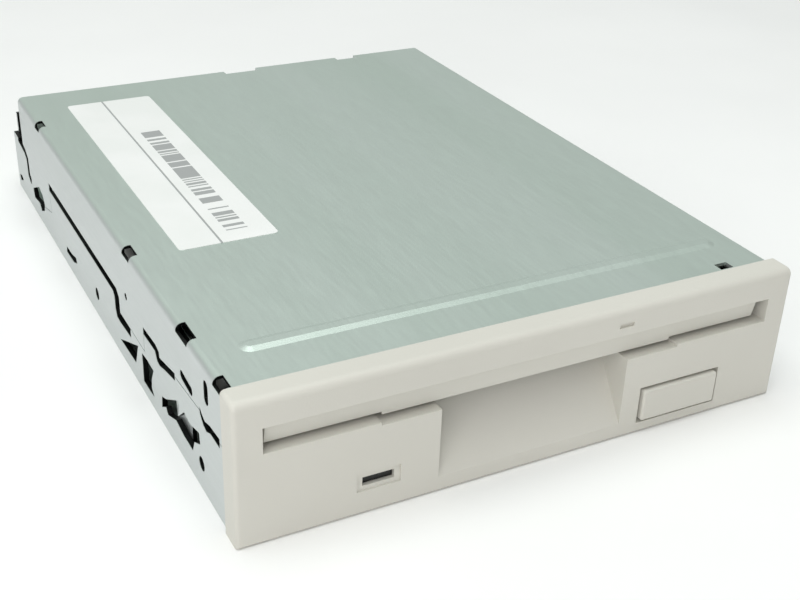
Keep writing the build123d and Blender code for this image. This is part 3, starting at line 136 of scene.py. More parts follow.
room = bpy.data.worlds.new("white_room")
room.use_nodes = True
backdrop = room.node_tree.nodes["Background"]
backdrop.inputs["Color"].default_value = hex_colour("#F4F6F5")
ray = add_node(room, "ShaderNodeTexCoord").outputs["Generated"]
ahead = add_node(room, "ShaderNodeSeparateXYZ", {"Vector": ray}).outputs["Y"]
glow = add_node(
    room,
    "ShaderNodeMapRange",
    {"Value": ahead, "From Min": -1, "To Min": GLOW_BEHIND, "To Max": GLOW_AHEAD},
)
room.node_tree.links.new(glow.outputs["Result"], backdrop.inputs["Strength"])
bpy.context.scene.world = room
print("room", room.name)

# %% [markdown]
# The lamps are large white boxes, so that the metal shows broad pale reflections and the shadow is
# only a soft rim. One box hangs overhead, and one stands near on the left, close enough that the bezel
# grows darker towards its right end. A single far lamp would be simpler, but its hard shadow and even
# front would be wrong.

# %% Lamps
def softbox(name, place, width, watts, tint):
    """A wide square lamp that faces the middle of the drive; place and width in metres."""
    lamp = bpy.data.lights.new(name, "AREA")
    lamp.size = width
    lamp.energy = watts
    lamp.color = hex_colour(tint)[:3]
    made = bpy.data.objects.new(name, lamp)
    bpy.context.scene.collection.objects.link(made)
    made.location = place
    made.rotation_euler = (-Vector(place)).to_track_quat("-Z", "Y").to_euler()
    return made


lamps = (
    softbox("overhead_box", (-0.1, -0.05, 0.9), width=0.8, watts=5.95, tint="#FAFFFD"),
    softbox("left_box", (-0.4, -0.5, 0.34), width=0.6, watts=2.02, tint="#FFFCFD"),
)
print("lamps", [lamp.name for lamp in lamps])

# %% [markdown]
# Every finish below starts from one shader. Its patterns read Object coordinates, turned into
# millimetres, so that a grain of 0.4 is 0.4 mm on the real part. It lays down what nearly every surface
# has: a slow drift of colour, and a fine grain that roughens the gloss and raises the surface a little.

# %% One shader for every finish
DRIFT_SPAN = (0.35, 0.65)
GRAIN_SPAN = (0.3, 0.7)


def finish(name, tones, drift_mm, grain_mm, relief_mm, gloss, along=(1, 1, 1), **shader):
    """A surface whose colour drifts between two tones and whose grain sets roughness and relief."""
    material = bpy.data.materials.new(name)
    material.use_nodes = True
    surface = material.node_tree.nodes["Principled BSDF"]
    for socket, value in shader.items():
        surface.inputs[socket].default_value = value
    place = add_node(material, "ShaderNodeTexCoord").outputs["Object"]
    scale = [1 / MM / stretch for stretch in along]
    spot = add_node(material, "ShaderNodeMapping", {"Vector": place, "Scale": scale}).outputs["Vector"]
    drift = add_node(
        material, "ShaderNodeTexNoise", {"Vector": spot, "Scale": 1 / drift_mm, "Detail": 3}
    )
    spread = add_node(
        material,
        "ShaderNodeMapRange",
        {"Value": drift.outputs["Fac"], "From Min": DRIFT_SPAN[0], "From Max": DRIFT_SPAN[1]},
    )
    tone = add_node(
        material,
        "ShaderNodeMix",
        {0: spread.outputs["Result"], 6: hex_colour(tones[0]), 7: hex_colour(tones[1])},
        data_type="RGBA",
    )
    material.node_tree.links.new(tone.outputs[2], surface.inputs["Base Color"])
    grain = add_node(
        material, "ShaderNodeTexNoise", {"Vector": spot, "Scale": 1 / grain_mm, "Detail": 2}
    )
    rough = add_node(
        material,
        "ShaderNodeMapRange",
        {
            "Value": grain.outputs["Fac"],
            "From Min": GRAIN_SPAN[0],
            "From Max": GRAIN_SPAN[1],
            "To Min": gloss[0],
            "To Max": gloss[1],
        },
    )
    material.node_tree.links.new(rough.outputs["Result"], surface.inputs["Roughness"])
    bump = add_node(
        material,
        "ShaderNodeBump",
        {"Height": grain.outputs["Fac"], "Distance": relief_mm * MM, "Strength": 1.0},
        name="relief",
    )
    material.node_tree.links.new(bump.outputs["Normal"], surface.inputs["Normal"])
    return material


finishes = {}
print("shader ready")

# %% [markdown]
# A printed place, or one with painted light or shade, has a second colour over its finish. One small
# helper lays that colour on, and three others find the place: by limits, by coordinates, or by the way a
# surface faces.

# %% Helpers for marks
def overprint(material, share, colour):
    """Lay one more colour over a finish wherever a share socket is high."""
    surface = material.node_tree.nodes["Principled BSDF"]
    tone = surface.inputs["Base Color"].links[0].from_socket
    over = add_node(
        material,
        "ShaderNodeMix",
        {0: share, 6: tone, 7: hex_colour(colour)},
        data_type="RGBA",
    )
    material.node_tree.links.new(over.outputs[2], surface.inputs["Base Color"])


def within(material, value, low, high):
    """One where a value lies between two limits, and zero elsewhere."""
    above = add_node(material, "ShaderNodeMath", {0: value, 1: low}, operation="GREATER_THAN")
    below = add_node(material, "ShaderNodeMath", {0: value, 1: high}, operation="LESS_THAN")
    both = {0: above.outputs[0], 1: below.outputs[0]}
    return add_node(material, "ShaderNodeMath", both, operation="MULTIPLY").outputs[0]


def axes_of(material):
    """Object coordinates as three separate values, in metres."""
    place = add_node(material, "ShaderNodeTexCoord").outputs["Object"]
    return add_node(material, "ShaderNodeSeparateXYZ", {"Vector": place}).outputs


def facing(material, axis):
    """How far a surface faces along an axis, from -1 to 1."""
    normal = add_node(material, "ShaderNodeNewGeometry").outputs["Normal"]
    return add_node(material, "ShaderNodeSeparateXYZ", {"Vector": normal}).outputs[axis]


print("helpers ready")

# %% [markdown]
# The floor of such a picture is seamless paper, almost white. It gets the same treatment as the
# drive's own surfaces, with a grain that only shows close up.

# %% Seamless paper
# Matt uncoated paper: no gloss, an even white
finishes["paper_sweep"] = finish(
    "matt_uncoated_paper", ("#F6F6F5", "#F9F9F8"),
    drift_mm=80, grain_mm=2, relief_mm=0.01, gloss=(0.9, 0.95),
)
floor.data.materials.append(finishes["paper_sweep"])
print("floor wears", floor.data.materials[0].name)

# %% [markdown]
# The case is zinc-plated sheet. Rolled steel keeps faint lines along the rolling direction, and the
# passivated zinc over it is satin, cool and slightly green. A mirror-bright metal would look like
# chrome, so the roughness stays high and the lines are only a breath of relief. Faces that look
# sideways are painted a nearly neutral grey: painted light that stands in for the side walls' own light.

# %% Plated sheet of the case
EDGE_TILT = 0.5
WALL_TILT = 0.95
PAINTED_SIDE_LIGHT_SHARE = 0.6

# Zinc-plated steel sheet, passivated: satin, cool grey with a green cast, faint rolling lines
plated = finish(
    "zinc_plated_steel_sheet", ("#C6D4CB", "#CDD9D2"),
    drift_mm=25, grain_mm=0.5, relief_mm=0.004, gloss=(0.42, 0.5), along=(1, 12, 1), Metallic=0.75,
)
tilt = facing(plated, "X")
sideways = add_node(plated, "ShaderNodeMath", {0: tilt}, operation="ABSOLUTE").outputs[0]
ramp = {"Value": sideways, "From Min": EDGE_TILT, "From Max": WALL_TILT, "To Max": PAINTED_SIDE_LIGHT_SHARE}
# Painted light: faces that look along X are tinted a nearly neutral grey.
overprint(plated, add_node(plated, "ShaderNodeMapRange", ramp).outputs["Result"], "#CBCACE")
finishes["plated_steel"] = plated
print("case sheet", plated.name)

# %% [markdown]
# Sheet that is sheared after plating has bare edges. Near-black painted shade is laid on these edges
# and on the inner faces of the bends, so that the gaps along the side and the slots in the bend read as
# bold dark marks. The case is a folded box with rounded bends, so a point on a cut edge lies deeper than
# the outer skin of that box. So do the inner faces, but on the side walls they face along X, and edges
# don't. These tests find all the edges, and no face is picked by hand.

# %% Painted shade on the sheared edges of the case
SIDE_MM = 50.3
REAR_MM = 73.0
COVER_TOP_MM = 24.7
BEND_MM = 1.2
SKIN_MM = 0.06
BEND_LEAD_MM = 0.2
WALL_DEPTH_MM = 2.0
REAR_FACE_MM = 0.1
FLANGE_TOP_MM = 1.1

x, y, z = axes_of(plated)
aside = add_node(plated, "ShaderNodeMath", {0: x}, operation="ABSOLUTE").outputs[0]
past = []
for value, bend in ((aside, SIDE_MM - BEND_MM), (z, COVER_TOP_MM - BEND_MM)):
    reach = {0: value, 1: bend * MM}
    beyond = add_node(plated, "ShaderNodeMath", reach, operation="SUBTRACT").outputs[0]
    past.append(add_node(plated, "ShaderNodeMath", {0: beyond, 1: 0.0}, operation="MAXIMUM").outputs[0])
corner = add_node(plated, "ShaderNodeCombineXYZ", {"X": past[0], "Y": past[1]}).outputs[0]
from_axis = add_node(plated, "ShaderNodeVectorMath", {0: corner}, operation="LENGTH").outputs["Value"]
in_bend = within(plated, z, (COVER_TOP_MM - BEND_MM - BEND_LEAD_MM) * MM, 1)
edge_on = within(plated, sideways, -1, EDGE_TILT)
painted_gap_shade = add_node(plated, "ShaderNodeMath", {0: in_bend, 1: edge_on}, operation="MAXIMUM").outputs[0]
for value, low, high in (
    (from_axis, -1, (BEND_MM - SKIN_MM) * MM),
    (aside, (SIDE_MM - WALL_DEPTH_MM) * MM, 1),
    (y, -1, (REAR_MM - REAR_FACE_MM) * MM),
    (z, FLANGE_TOP_MM * MM, 1),
):
    test = within(plated, value, low, high)
    painted_gap_shade = add_node(plated, "ShaderNodeMath", {0: painted_gap_shade, 1: test}, operation="MULTIPLY").outputs[0]
# Painted shade: near-black over the sheared edges and the inner faces of the bends.
overprint(plated, painted_gap_shade, "#161817")
print("sheared edges lie more than", SKIN_MM, "mm under the skin")

# %% [markdown]
# The sheets inside are plated differently, so that tray, slide and motor cans can be told apart.

# %% Inner sheets
# Nickel-plated pressed steel of the tray and the slide: brighter and more neutral than the case
finishes["pressed_steel"] = finish(
    "nickel_plated_pressed_steel", ("#BDBDBA", "#C9C9C6"),
    drift_mm=18, grain_mm=0.4, relief_mm=0.003, gloss=(0.3, 0.4), along=(1, 8, 1), Metallic=1.0,
)
# Drawn sheet of rotor and stepper can: darker, with the sheen of deep drawing
finishes["rotor_steel"] = finish(
    "deep_drawn_steel", ("#A6A8AA", "#B4B5B6"),
    drift_mm=10, grain_mm=0.3, relief_mm=0.002, gloss=(0.28, 0.38), Metallic=1.0,
)
print("inner sheets", finishes["pressed_steel"].name, finishes["rotor_steel"].name)

# %% [markdown]
# Shafts and pins are ground, springs are drawn wire, and screws are plated. All three are bright
# steel, told apart by how smooth they are. Bearings, contacts and windings are the warm metals.

# %% Bright and warm metals
# Ground steel shaft: fine rings and a tight highlight
finishes["turned_steel"] = finish(
    "ground_steel_rod", ("#C9CACB", "#D6D6D6"),
    drift_mm=6, grain_mm=0.15, relief_mm=0.001, gloss=(0.12, 0.2), Metallic=1.0,
)
# Drawn spring wire: bright, a little streaked
finishes["spring_wire"] = finish(
    "drawn_spring_steel", ("#A9ABAC", "#BDBEBF"),
    drift_mm=4, grain_mm=0.2, relief_mm=0.002, gloss=(0.22, 0.34), Metallic=1.0,
)
# Zinc-plated screw with a yellowish passivation
finishes["screw_steel"] = finish(
    "yellow_passivated_screw_steel", ("#A89F86", "#BBB29A"),
    drift_mm=3, grain_mm=0.2, relief_mm=0.002, gloss=(0.3, 0.42), Metallic=1.0,
)
# Sintered bronze of plain bearings: warm, dull and porous
finishes["bearing_bronze"] = finish(
    "sintered_bronze", ("#9C7B45", "#B08E55"),
    drift_mm=3, grain_mm=0.12, relief_mm=0.006, gloss=(0.4, 0.55), Metallic=1.0,
)
# Gold flash on contact pins: warm and bright
finishes["gold_plate"] = finish(
    "gold_flashed_contact", ("#D2AE5A", "#DDBE72"),
    drift_mm=3, grain_mm=0.1, relief_mm=0.001, gloss=(0.18, 0.28), Metallic=1.0,
)
print("finishes so far", len(finishes))

# %% [markdown]
# A winding is one enamelled wire laid turn beside turn round a radial pole. Every turn keeps its
# distance from the spindle, so a sine of that distance, one period for each wire, raises the turns on
# all nine poles at once.

# %% Windings
FRONT_MM = -72.4
SPINDLE_MM = FRONT_MM + 52.0
WIRE_MM = 0.3
TURN_RELIEF_MM = 0.08

# Enamelled copper wire: orange-brown under a clear varnish, in close turns
copper = finish(
    "enamelled_copper_wire", ("#9C4E22", "#B4642F"),
    drift_mm=2, grain_mm=0.2, relief_mm=0.01, gloss=(0.25, 0.35), Metallic=0.9,
)
x, y, z = axes_of(copper)
flat = add_node(copper, "ShaderNodeCombineXYZ", {"X": x, "Y": y})
spindle = (0, SPINDLE_MM * MM, 0)
reach = add_node(copper, "ShaderNodeVectorMath", {0: flat.outputs[0], 1: spindle}, operation="DISTANCE")
phase = {0: reach.outputs["Value"], 1: 2 * math.pi / (WIRE_MM * MM)}
turns = add_node(copper, "ShaderNodeMath", phase, operation="MULTIPLY").outputs[0]
wave = add_node(copper, "ShaderNodeMath", {0: turns}, operation="SINE").outputs[0]
relief = copper.node_tree.nodes["relief"]
relief.inputs["Distance"].default_value = TURN_RELIEF_MM * MM
copper.node_tree.links.new(wave, relief.inputs["Height"])
finishes["copper_wire"] = copper
print("windings of", WIRE_MM, "mm wire")

# %% [markdown]
# The bezel, the door and the button are one batch of ABS, moulded in a spark-eroded tool: matt, with a
# grain of about a third of a millimetre that softens every highlight. The tone is a warm computer grey.

# %% Plastics
# Moulded ABS, spark-eroded grain: warm pale grey and matt
finishes["bezel_plastic"] = finish(
    "moulded_abs_computer_grey", ("#D1CFC6", "#D5D3CA"),
    drift_mm=40, grain_mm=0.35, relief_mm=0.012, gloss=(0.5, 0.62), IOR=1.53,
)
# Moulded black nylon of headers and switches: satin, nearly black
finishes["black_nylon"] = finish(
    "moulded_black_nylon", ("#17171A", "#222225"),
    drift_mm=8, grain_mm=0.3, relief_mm=0.006, gloss=(0.38, 0.5), IOR=1.53,
)
# Moulded natural nylon of lever and clips: milky
finishes["white_nylon"] = finish(
    "moulded_natural_nylon", ("#DAD8CC", "#E4E2D8"),
    drift_mm=8, grain_mm=0.3, relief_mm=0.006, gloss=(0.38, 0.5), IOR=1.53,
)
# Glass-filled resin of the carriage: dark grey with pale fibre specks
finishes["carriage_resin"] = finish(
    "glass_filled_resin", ("#2C2C2F", "#3D3D40"),
    drift_mm=1.2, grain_mm=0.25, relief_mm=0.006, gloss=(0.45, 0.6), along=(1, 3, 1), IOR=1.55,
)
# Transfer-moulded epoxy of chips: matt black
finishes["chip_epoxy"] = finish(
    "moulded_chip_epoxy", ("#1B1C1D", "#252627"),
    drift_mm=5, grain_mm=0.2, relief_mm=0.004, gloss=(0.5, 0.62), IOR=1.55,
)
# Tinted epoxy of the lamp: nearly black until it is lit
finishes["lamp_epoxy"] = finish(
    "tinted_lamp_epoxy", ("#060807", "#0A0C0A"),
    drift_mm=4, grain_mm=0.3, relief_mm=0.001, gloss=(0.3, 0.4), IOR=1.45,
)
print("finishes so far", len(finishes))

# %% [markdown]
# A circuit board is glass laminate under solder mask. Copper tracks show through the mask as paler
# bundles of lines that turn at right angles, and small tinned holes join the layers. A Voronoi pattern
# cuts the board into patches and gives each one a random value, which decides whether its tracks run
# along X or along Y. A finer Voronoi pattern places the holes. No layout has to be drawn for this. The
# sawn edge of the board has no mask, so there the yellowish glass shows.

# %% Boards
PATCH_MM = 9.0
TRACK_PITCH_MM = 0.9
TRACK_GAP_MM = 0.56
VIA_GRID_MM = 4.0
VIA_RADIUS_MM = 0.4

# Glass laminate under solder mask: deep green gloss over paler tracks and tinned holes
laminate = finish(
    "solder_masked_laminate", ("#1B5035", "#205A3C"),
    drift_mm=12, grain_mm=0.6, relief_mm=0.01, gloss=(0.22, 0.34), IOR=1.52,
)
x, y, z = axes_of(laminate)
flat = add_node(laminate, "ShaderNodeCombineXYZ", {"X": x, "Y": y}).outputs[0]
patch = add_node(
    laminate,
    "ShaderNodeTexVoronoi",
    {"Vector": flat, "Scale": 1 / (PATCH_MM * MM)},
    distance="CHEBYCHEV",
)
chance = add_node(laminate, "ShaderNodeSeparateColor", {"Color": patch.outputs["Color"]}).outputs[0]
along_y = add_node(laminate, "ShaderNodeMath", {0: chance, 1: 0.5}, operation="GREATER_THAN").outputs[0]
run = add_node(laminate, "ShaderNodeMix", {0: along_y, 2: y, 3: x}).outputs[0]
line = {0: run, 1: TRACK_PITCH_MM / 2 * MM}
wave = add_node(laminate, "ShaderNodeMath", line, operation="PINGPONG").outputs[0]
overprint(laminate, within(laminate, wave, TRACK_GAP_MM / 2 * MM, 1), "#34754F")
vias = add_node(laminate, "ShaderNodeTexVoronoi", {"Vector": flat, "Scale": 1 / (VIA_GRID_MM * MM)})
hole = within(laminate, vias.outputs["Distance"], -1, VIA_RADIUS_MM / VIA_GRID_MM)
overprint(laminate, hole, "#B9BDB8")
overprint(laminate, within(laminate, facing(laminate, "Z"), -EDGE_TILT, EDGE_TILT), "#8C8F5E")
finishes["green_laminate"] = laminate
print("boards", laminate.name)

# %% [markdown]
# What is left is electrical too: polyimide film with etched conductors, ferrite magnets, and the
# polished ceramic of the heads. The conductors run the length of the film, 0.8 mm apart, so they are
# stripes over the width.

# %% Film, ferrite and ceramic
CONDUCTOR_PITCH_MM = 0.8
CONDUCTOR_GAP_MM = 0.45

# Polyimide film: amber and glossy, with copper conductors under it
film = finish(
    "polyimide_film", ("#A8651C", "#BC7826"),
    drift_mm=5, grain_mm=0.5, relief_mm=0.002, gloss=(0.16, 0.26), IOR=1.6,
)
x, y, z = axes_of(film)
fold = {0: x, 1: CONDUCTOR_PITCH_MM / 2 * MM}
stripe = add_node(film, "ShaderNodeMath", fold, operation="PINGPONG").outputs[0]
overprint(film, within(film, stripe, CONDUCTOR_GAP_MM / 2 * MM, 1), "#7A3F14")
finishes["ribbon_film"] = film
# Sintered ferrite: charcoal, faintly granular
finishes["magnet_ferrite"] = finish(
    "sintered_ferrite", ("#2B2B2D", "#38383A"),
    drift_mm=2, grain_mm=0.15, relief_mm=0.006, gloss=(0.5, 0.65),
)
# Lapped ceramic of the heads: grey-brown, mirror smooth
finishes["head_ceramic"] = finish(
    "lapped_ceramic", ("#544C46", "#635A53"),
    drift_mm=2, grain_mm=0.2, relief_mm=0.0005, gloss=(0.06, 0.12), IOR=1.9,
)
print("finishes", len(finishes))

# %% [markdown]
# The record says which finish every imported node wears. A dictionary from its material slots to the
# finishes above dresses them all in one loop.

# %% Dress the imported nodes
for part in frame["record"]["subparts"]:
    dressed = frame["nodes"][part["node"]]
    dressed.data.materials.clear()
    dressed.data.materials.append(finishes[part["material_slot"]])

# %% [markdown]
# No moulded corner is a knife edge: the tool is polished there, and the plastic shrinks. The packed
# triangles do not share vertices across faces, so a Weld modifier joins them first, and a Bevel then
# rounds every edge that is sharper than 40 degrees. The solids stay as they are, and only their look
# is softened. The sheets need none of it, because their edges are sheared, not moulded.

# %% Soft edges
SOFT_MM = {"front_bezel": 0.3, "dust_door": 0.15, "eject_button": 0.15}
WELD_MM = 0.002
SHARP_DEG = 40

for name, radius in SOFT_MM.items():
    node = frame["nodes"][name]
    weld = node.modifiers.new("weld", "WELD")
    weld.merge_threshold = WELD_MM * MM
    bevel = node.modifiers.new("soft_edges", "BEVEL")
    bevel.width = radius * MM
    bevel.segments = 2
    bevel.limit_method = "ANGLE"
    bevel.angle_limit = math.radians(SHARP_DEG)
print("softened", list(SOFT_MM))

# %% [markdown]
# Pieces that the scene adds are all fitted the same way: they take the finish of a material slot of
# the record, ride on a body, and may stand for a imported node, which then hides. Turned and pressed
# pieces are shaded smooth first, and keep a hard line only where two faces meet at a real edge.

# %% Fit a new piece
EDGE_DEG = 30


def shade(shape):
    """Shade a shape smooth, apart from the edges that are sharper than the limit."""
    for face in shape.faces:
        face.smooth = True
    for edge in shape.edges:
        edge.smooth = edge.calc_face_angle(0) < math.radians(EDGE_DEG)


def fit(piece, slot, body, *stands_for):
    """Give a new piece its finish, its body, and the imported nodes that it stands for."""
    piece.data.materials.append(finishes[slot])
    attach(piece, body)
    if stands_for:
        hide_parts(*stands_for)
    print(piece.name, "has", len(piece.data.polygons), "faces")


print("ready to fit")

# %% [markdown]
# A paper label is stuck on the cover, near its left bend. It is die-cut, so its corners are rounded.
# The paper is a tenth of a millimetre thick and lies on the cover, so its edge still catches the light.

# %% Paper label
LABEL_MM = (-41.7, -23.4, FRONT_MM + 49.3, FRONT_MM + 126.0)
PAPER_MM = 0.1
CORNER_MM = 0.8

shape = bmesh.new()
bmesh.ops.create_grid(shape, x_segments=1, y_segments=1, size=0.5)
left, right, front, back = LABEL_MM
size = Matrix.Diagonal(((right - left) * MM, (back - front) * MM, 1, 1))
middle = ((left + right) / 2, (front + back) / 2, COVER_TOP_MM)
bmesh.ops.transform(shape, matrix=Matrix.Translation(Vector(middle) * MM) @ size, verts=shape.verts)
bmesh.ops.bevel(
    shape,
    geom=shape.verts[:],
    offset=CORNER_MM * MM,
    segments=4,
    profile=0.5,
    affect="VERTICES",
    material=-1,
)
raised = bmesh.ops.extrude_face_region(shape, geom=shape.faces[:], use_keep_orig=True)
lifted = [part for part in raised["geom"] if isinstance(part, bmesh.types.BMVert)]
bmesh.ops.translate(shape, vec=(0, 0, PAPER_MM * MM), verts=lifted)
bmesh.ops.recalc_face_normals(shape, faces=shape.faces)
label = piece_from(shape, "paper_label")
print("label", [round(v / MM, 1) for v in label.dimensions], "mm")

# %% [markdown]
# The label is printed with a block of bars and a rule. The bars here encode nothing: a noise that is
# constant over each 0.5 mm step decides which steps are printed.

# %% Print on the label
BAR_STEP_MM = 0.5
BARE_SHARE = 0.35
BARS_X_MM = (-31.7, -27.7)
BARS_Y_MM = (FRONT_MM + 53.5, FRONT_MM + 104.7)
RULE_X_MM = (-34.2, -33.8)

# Coated label paper: bright white, faintly glossy, with grey print
paper = finish(
    "coated_label_paper", ("#EBEDEA", "#F1F2F0"),
    drift_mm=15, grain_mm=0.4, relief_mm=0.003, gloss=(0.35, 0.45), IOR=1.5,
)
x, y, z = axes_of(paper)
step = add_node(paper, "ShaderNodeMath", {0: y, 1: BAR_STEP_MM * MM}, operation="SNAP").outputs[0]
chance = add_node(paper, "ShaderNodeTexWhiteNoise", {"W": step}, noise_dimensions="1D").outputs["Value"]
share = {0: chance, 1: BARE_SHARE}
inked = add_node(paper, "ShaderNodeMath", share, operation="GREATER_THAN").outputs[0]
across = within(paper, x, BARS_X_MM[0] * MM, BARS_X_MM[1] * MM)
along = within(paper, y, BARS_Y_MM[0] * MM, BARS_Y_MM[1] * MM)
block = add_node(paper, "ShaderNodeMath", {0: across, 1: along}, operation="MULTIPLY").outputs[0]
bars = add_node(paper, "ShaderNodeMath", {0: block, 1: inked}, operation="MULTIPLY").outputs[0]
rule = within(paper, x, RULE_X_MM[0] * MM, RULE_X_MM[1] * MM)
print_share = add_node(paper, "ShaderNodeMath", {0: bars, 1: rule}, operation="MAXIMUM").outputs[0]
overprint(paper, print_share, "#A3A6A5")
label.data.materials.append(paper)
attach(label, "chassis")
print("label wears", label.data.materials[0].name)

# %% [markdown]
# A coil spring is one wire on a helix. Spinning a small circle round an axis, with a shift along the
# axis at each step, winds exactly that. The same few lines make every spring of the drive.

# %% Wind a wire
WIRE_SIDES = 8
STEPS_PER_TURN = 18


def wind(shape, start, axis, length, radius, wire, turns):
    """Wind a wire with closed ends round an axis from a start point; sizes in mm."""
    ring = bmesh.ops.create_circle(
        shape,
        segments=WIRE_SIDES,
        radius=wire * MM,
        matrix=Matrix.Translation((radius * MM, 0, 0)) @ Matrix.Rotation(math.pi / 2, 4, "X"),
    )["verts"]
    edges = [edge for edge in shape.edges if edge.verts[0] in ring and edge.verts[1] in ring]
    steps = int(STEPS_PER_TURN * turns)
    bmesh.ops.spin(
        shape,
        geom=[*ring, *edges],
        cent=(0, 0, 0),
        axis=(0, 0, 1),
        dvec=(0, 0, length * MM / steps),
        angle=2 * math.pi * turns,
        steps=steps,
    )
    verts = {vert for face in shape.faces for vert in face.verts if not face.tag}
    turn = Vector((0, 0, 1)).rotation_difference(Vector(axis)).to_matrix().to_4x4()
    place = Matrix.Translation(Vector(start) * MM) @ turn
    bmesh.ops.transform(shape, matrix=place, verts=list(verts))
    open_ends = [edge for edge in shape.edges if edge.is_boundary]
    bmesh.ops.holes_fill(shape, edges=open_ends, sides=WIRE_SIDES)
    for face in shape.faces:
        face.tag = True
        face.smooth = True


print("wire of", WIRE_SIDES, "sides,", STEPS_PER_TURN, "steps in a turn")

# %% [markdown]
# Two long springs pull the slide forwards. Half a turn round an upright axis bends the hook at each end.
# A spring shortens as the slide moves; this one is wound at a single length.

# %% Slide springs
HOOK_MM = (36.0, FRONT_MM + 48.0, 7.4)
LUG_MM = FRONT_MM + 78.0
# The coil lies between the places where its two hooks begin
COIL_MM = (HOOK_MM[1] + 2.56, LUG_MM - 1.56)
COIL_RADIUS_MM = 1.26
COIL_WIRE_MM = 0.24
COIL_TURNS = 42
HOOK_TURNS = 0.5

for side, name in ((-1, "slide_spring_left"), (1, "slide_spring_right")):
    shape = bmesh.new()
    coil_ends = [Vector((side * HOOK_MM[0], end, HOOK_MM[2])) for end in COIL_MM]
    length = COIL_MM[1] - COIL_MM[0]
    wind(shape, coil_ends[0], (0, 1, 0), length, COIL_RADIUS_MM, COIL_WIRE_MM, COIL_TURNS)
    for end, away in zip(coil_ends, (-1, 1)):
        wind(shape, end, (0, 0, 1), 0, away * COIL_RADIUS_MM, COIL_WIRE_MM, HOOK_TURNS)
    bmesh.ops.recalc_face_normals(shape, faces=shape.faces)
    spring = piece_from(shape, name)
    fit(spring, "spring_wire", "chassis", *(("slide_springs",) if side > 0 else ()))
    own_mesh(spring)

# %% [markdown]
# Three short springs wind closely round the pins of the door, the lever and the upper arm. Each keeps
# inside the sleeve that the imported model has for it, so nothing that turns beside it is touched.

# %% Pin springs
DOOR_PIN_MM = (44.95, FRONT_MM + 1.9, 21.2)
LEVER_PIN_MM = (-35.0, FRONT_MM + 101.0, 14.3)
ARM_PIN_MM = (-1.9, FRONT_MM + 119.5, 15.6)
# Name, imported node, body, place, axis, and then length, radius, wire radius and turns
PIN_SPRINGS = (
    ("door_coil", "door_spring", "chassis", DOOR_PIN_MM, (1, 0, 0), (0.9, 0.84, 0.14, 3)),
    ("lever_coil", "lever_spring", "chassis", LEVER_PIN_MM, (0, 0, 1), (1.7, 2.0, 0.28, 3)),
    ("arm_coil", "arm_spring", "carriage", ARM_PIN_MM, (1, 0, 0), (3.8, 1.45, 0.3, 6)),
)

for name, node, body, start, axis, (length, radius, wire, turns) in PIN_SPRINGS:
    shape = bmesh.new()
    wind(shape, start, axis, length, radius, wire, turns)
    bmesh.ops.recalc_face_normals(shape, faces=shape.faces)
    fit(piece_from(shape, name), "spring_wire", body, node)

# %% [markdown]
# The lead screw turns steps into head movement: a needle runs in its V groove. One pitch of the
# profile, spun with a shift of one pitch per turn, lays turn upon turn; the doubled seam between turns
# is then merged, and two cuts give it square ends. A bump texture would be quicker, but the groove would
# vanish from the outline.

# %% Thread of the lead screw
GROOVE_MM = 3.75
LAND_MM = 2.5
VALLEY_MM = 3.1
SEAM_MM = 0.005
THREAD_MM = (FRONT_MM + 72.0, FRONT_MM + 111.6)
CREST_MM = 1.48
ROOT_MM = 1.0
FACETS = 32

shape = bmesh.new()
profile = [(CREST_MM, 0.0), (CREST_MM, LAND_MM), (ROOT_MM, VALLEY_MM), (CREST_MM, GROOVE_MM)]
points = [shape.verts.new((radius * MM, 0, rise * MM)) for radius, rise in profile]
edges = [shape.edges.new(pair) for pair in zip(points, points[1:])]
turns = math.ceil((THREAD_MM[1] - THREAD_MM[0]) / GROOVE_MM) + 2
bmesh.ops.spin(
    shape,
    geom=points + edges,
    cent=(0, 0, 0),
    axis=(0, 0, 1),
    dvec=(0, 0, GROOVE_MM * MM / FACETS),
    angle=2 * math.pi * turns,
    steps=FACETS * turns,
)
bmesh.ops.remove_doubles(shape, verts=shape.verts, dist=SEAM_MM * MM)
for height, side in ((GROOVE_MM, -1), (GROOVE_MM + THREAD_MM[1] - THREAD_MM[0], 1)):
    bmesh.ops.bisect_plane(
        shape,
        geom=[*shape.verts, *shape.edges, *shape.faces],
        plane_co=(0, 0, height * MM),
        plane_no=(0, 0, side),
        clear_outer=True,
    )
bmesh.ops.holes_fill(shape, edges=[edge for edge in shape.edges if edge.is_boundary], sides=0)
bmesh.ops.translate(shape, vec=(0, 0, (THREAD_MM[0] - GROOVE_MM) * MM), verts=shape.verts)
print("thread of", len(shape.faces), "faces")

# %% [markdown]
# Plain journals at both ends of the thread run in the bearing and in the motor. The screw was built
# upright, because a spin is easiest to follow round Z, and is laid down last.

# %% Journals of the lead screw
SCREW_MM = (21.0, 9.2)
SCREW_ENDS_MM = (FRONT_MM + 69.4, FRONT_MM + 125.6)
JOURNAL_MM = 1.45

for low, high in ((SCREW_ENDS_MM[0], THREAD_MM[0]), (THREAD_MM[1], SCREW_ENDS_MM[1])):
    bmesh.ops.create_cone(
        shape,
        cap_ends=True,
        segments=FACETS,
        radius1=JOURNAL_MM * MM,
        radius2=JOURNAL_MM * MM,
        depth=(high - low) * MM,
        matrix=Matrix.Translation((0, 0, (low + high) / 2 * MM)),
    )
lay_down = Matrix.Rotation(-math.pi / 2, 4, "X")
place = Matrix.Translation((SCREW_MM[0] * MM, 0, SCREW_MM[1] * MM)) @ lay_down
bmesh.ops.transform(shape, matrix=place, verts=shape.verts)
bmesh.ops.recalc_face_normals(shape, faces=shape.faces)
shade(shape)
fit(piece_from(shape, "grooved_lead_screw"), "turned_steel", "screw", "lead_screw")

# %% [markdown]
# A flexible film carries the signals of the heads. It lies on the deck, turns back in a soft bend and
# is glued under the carriage, so that it rolls when the carriage travels. One edge, pushed along and
# spun through half a turn, draws the strip.

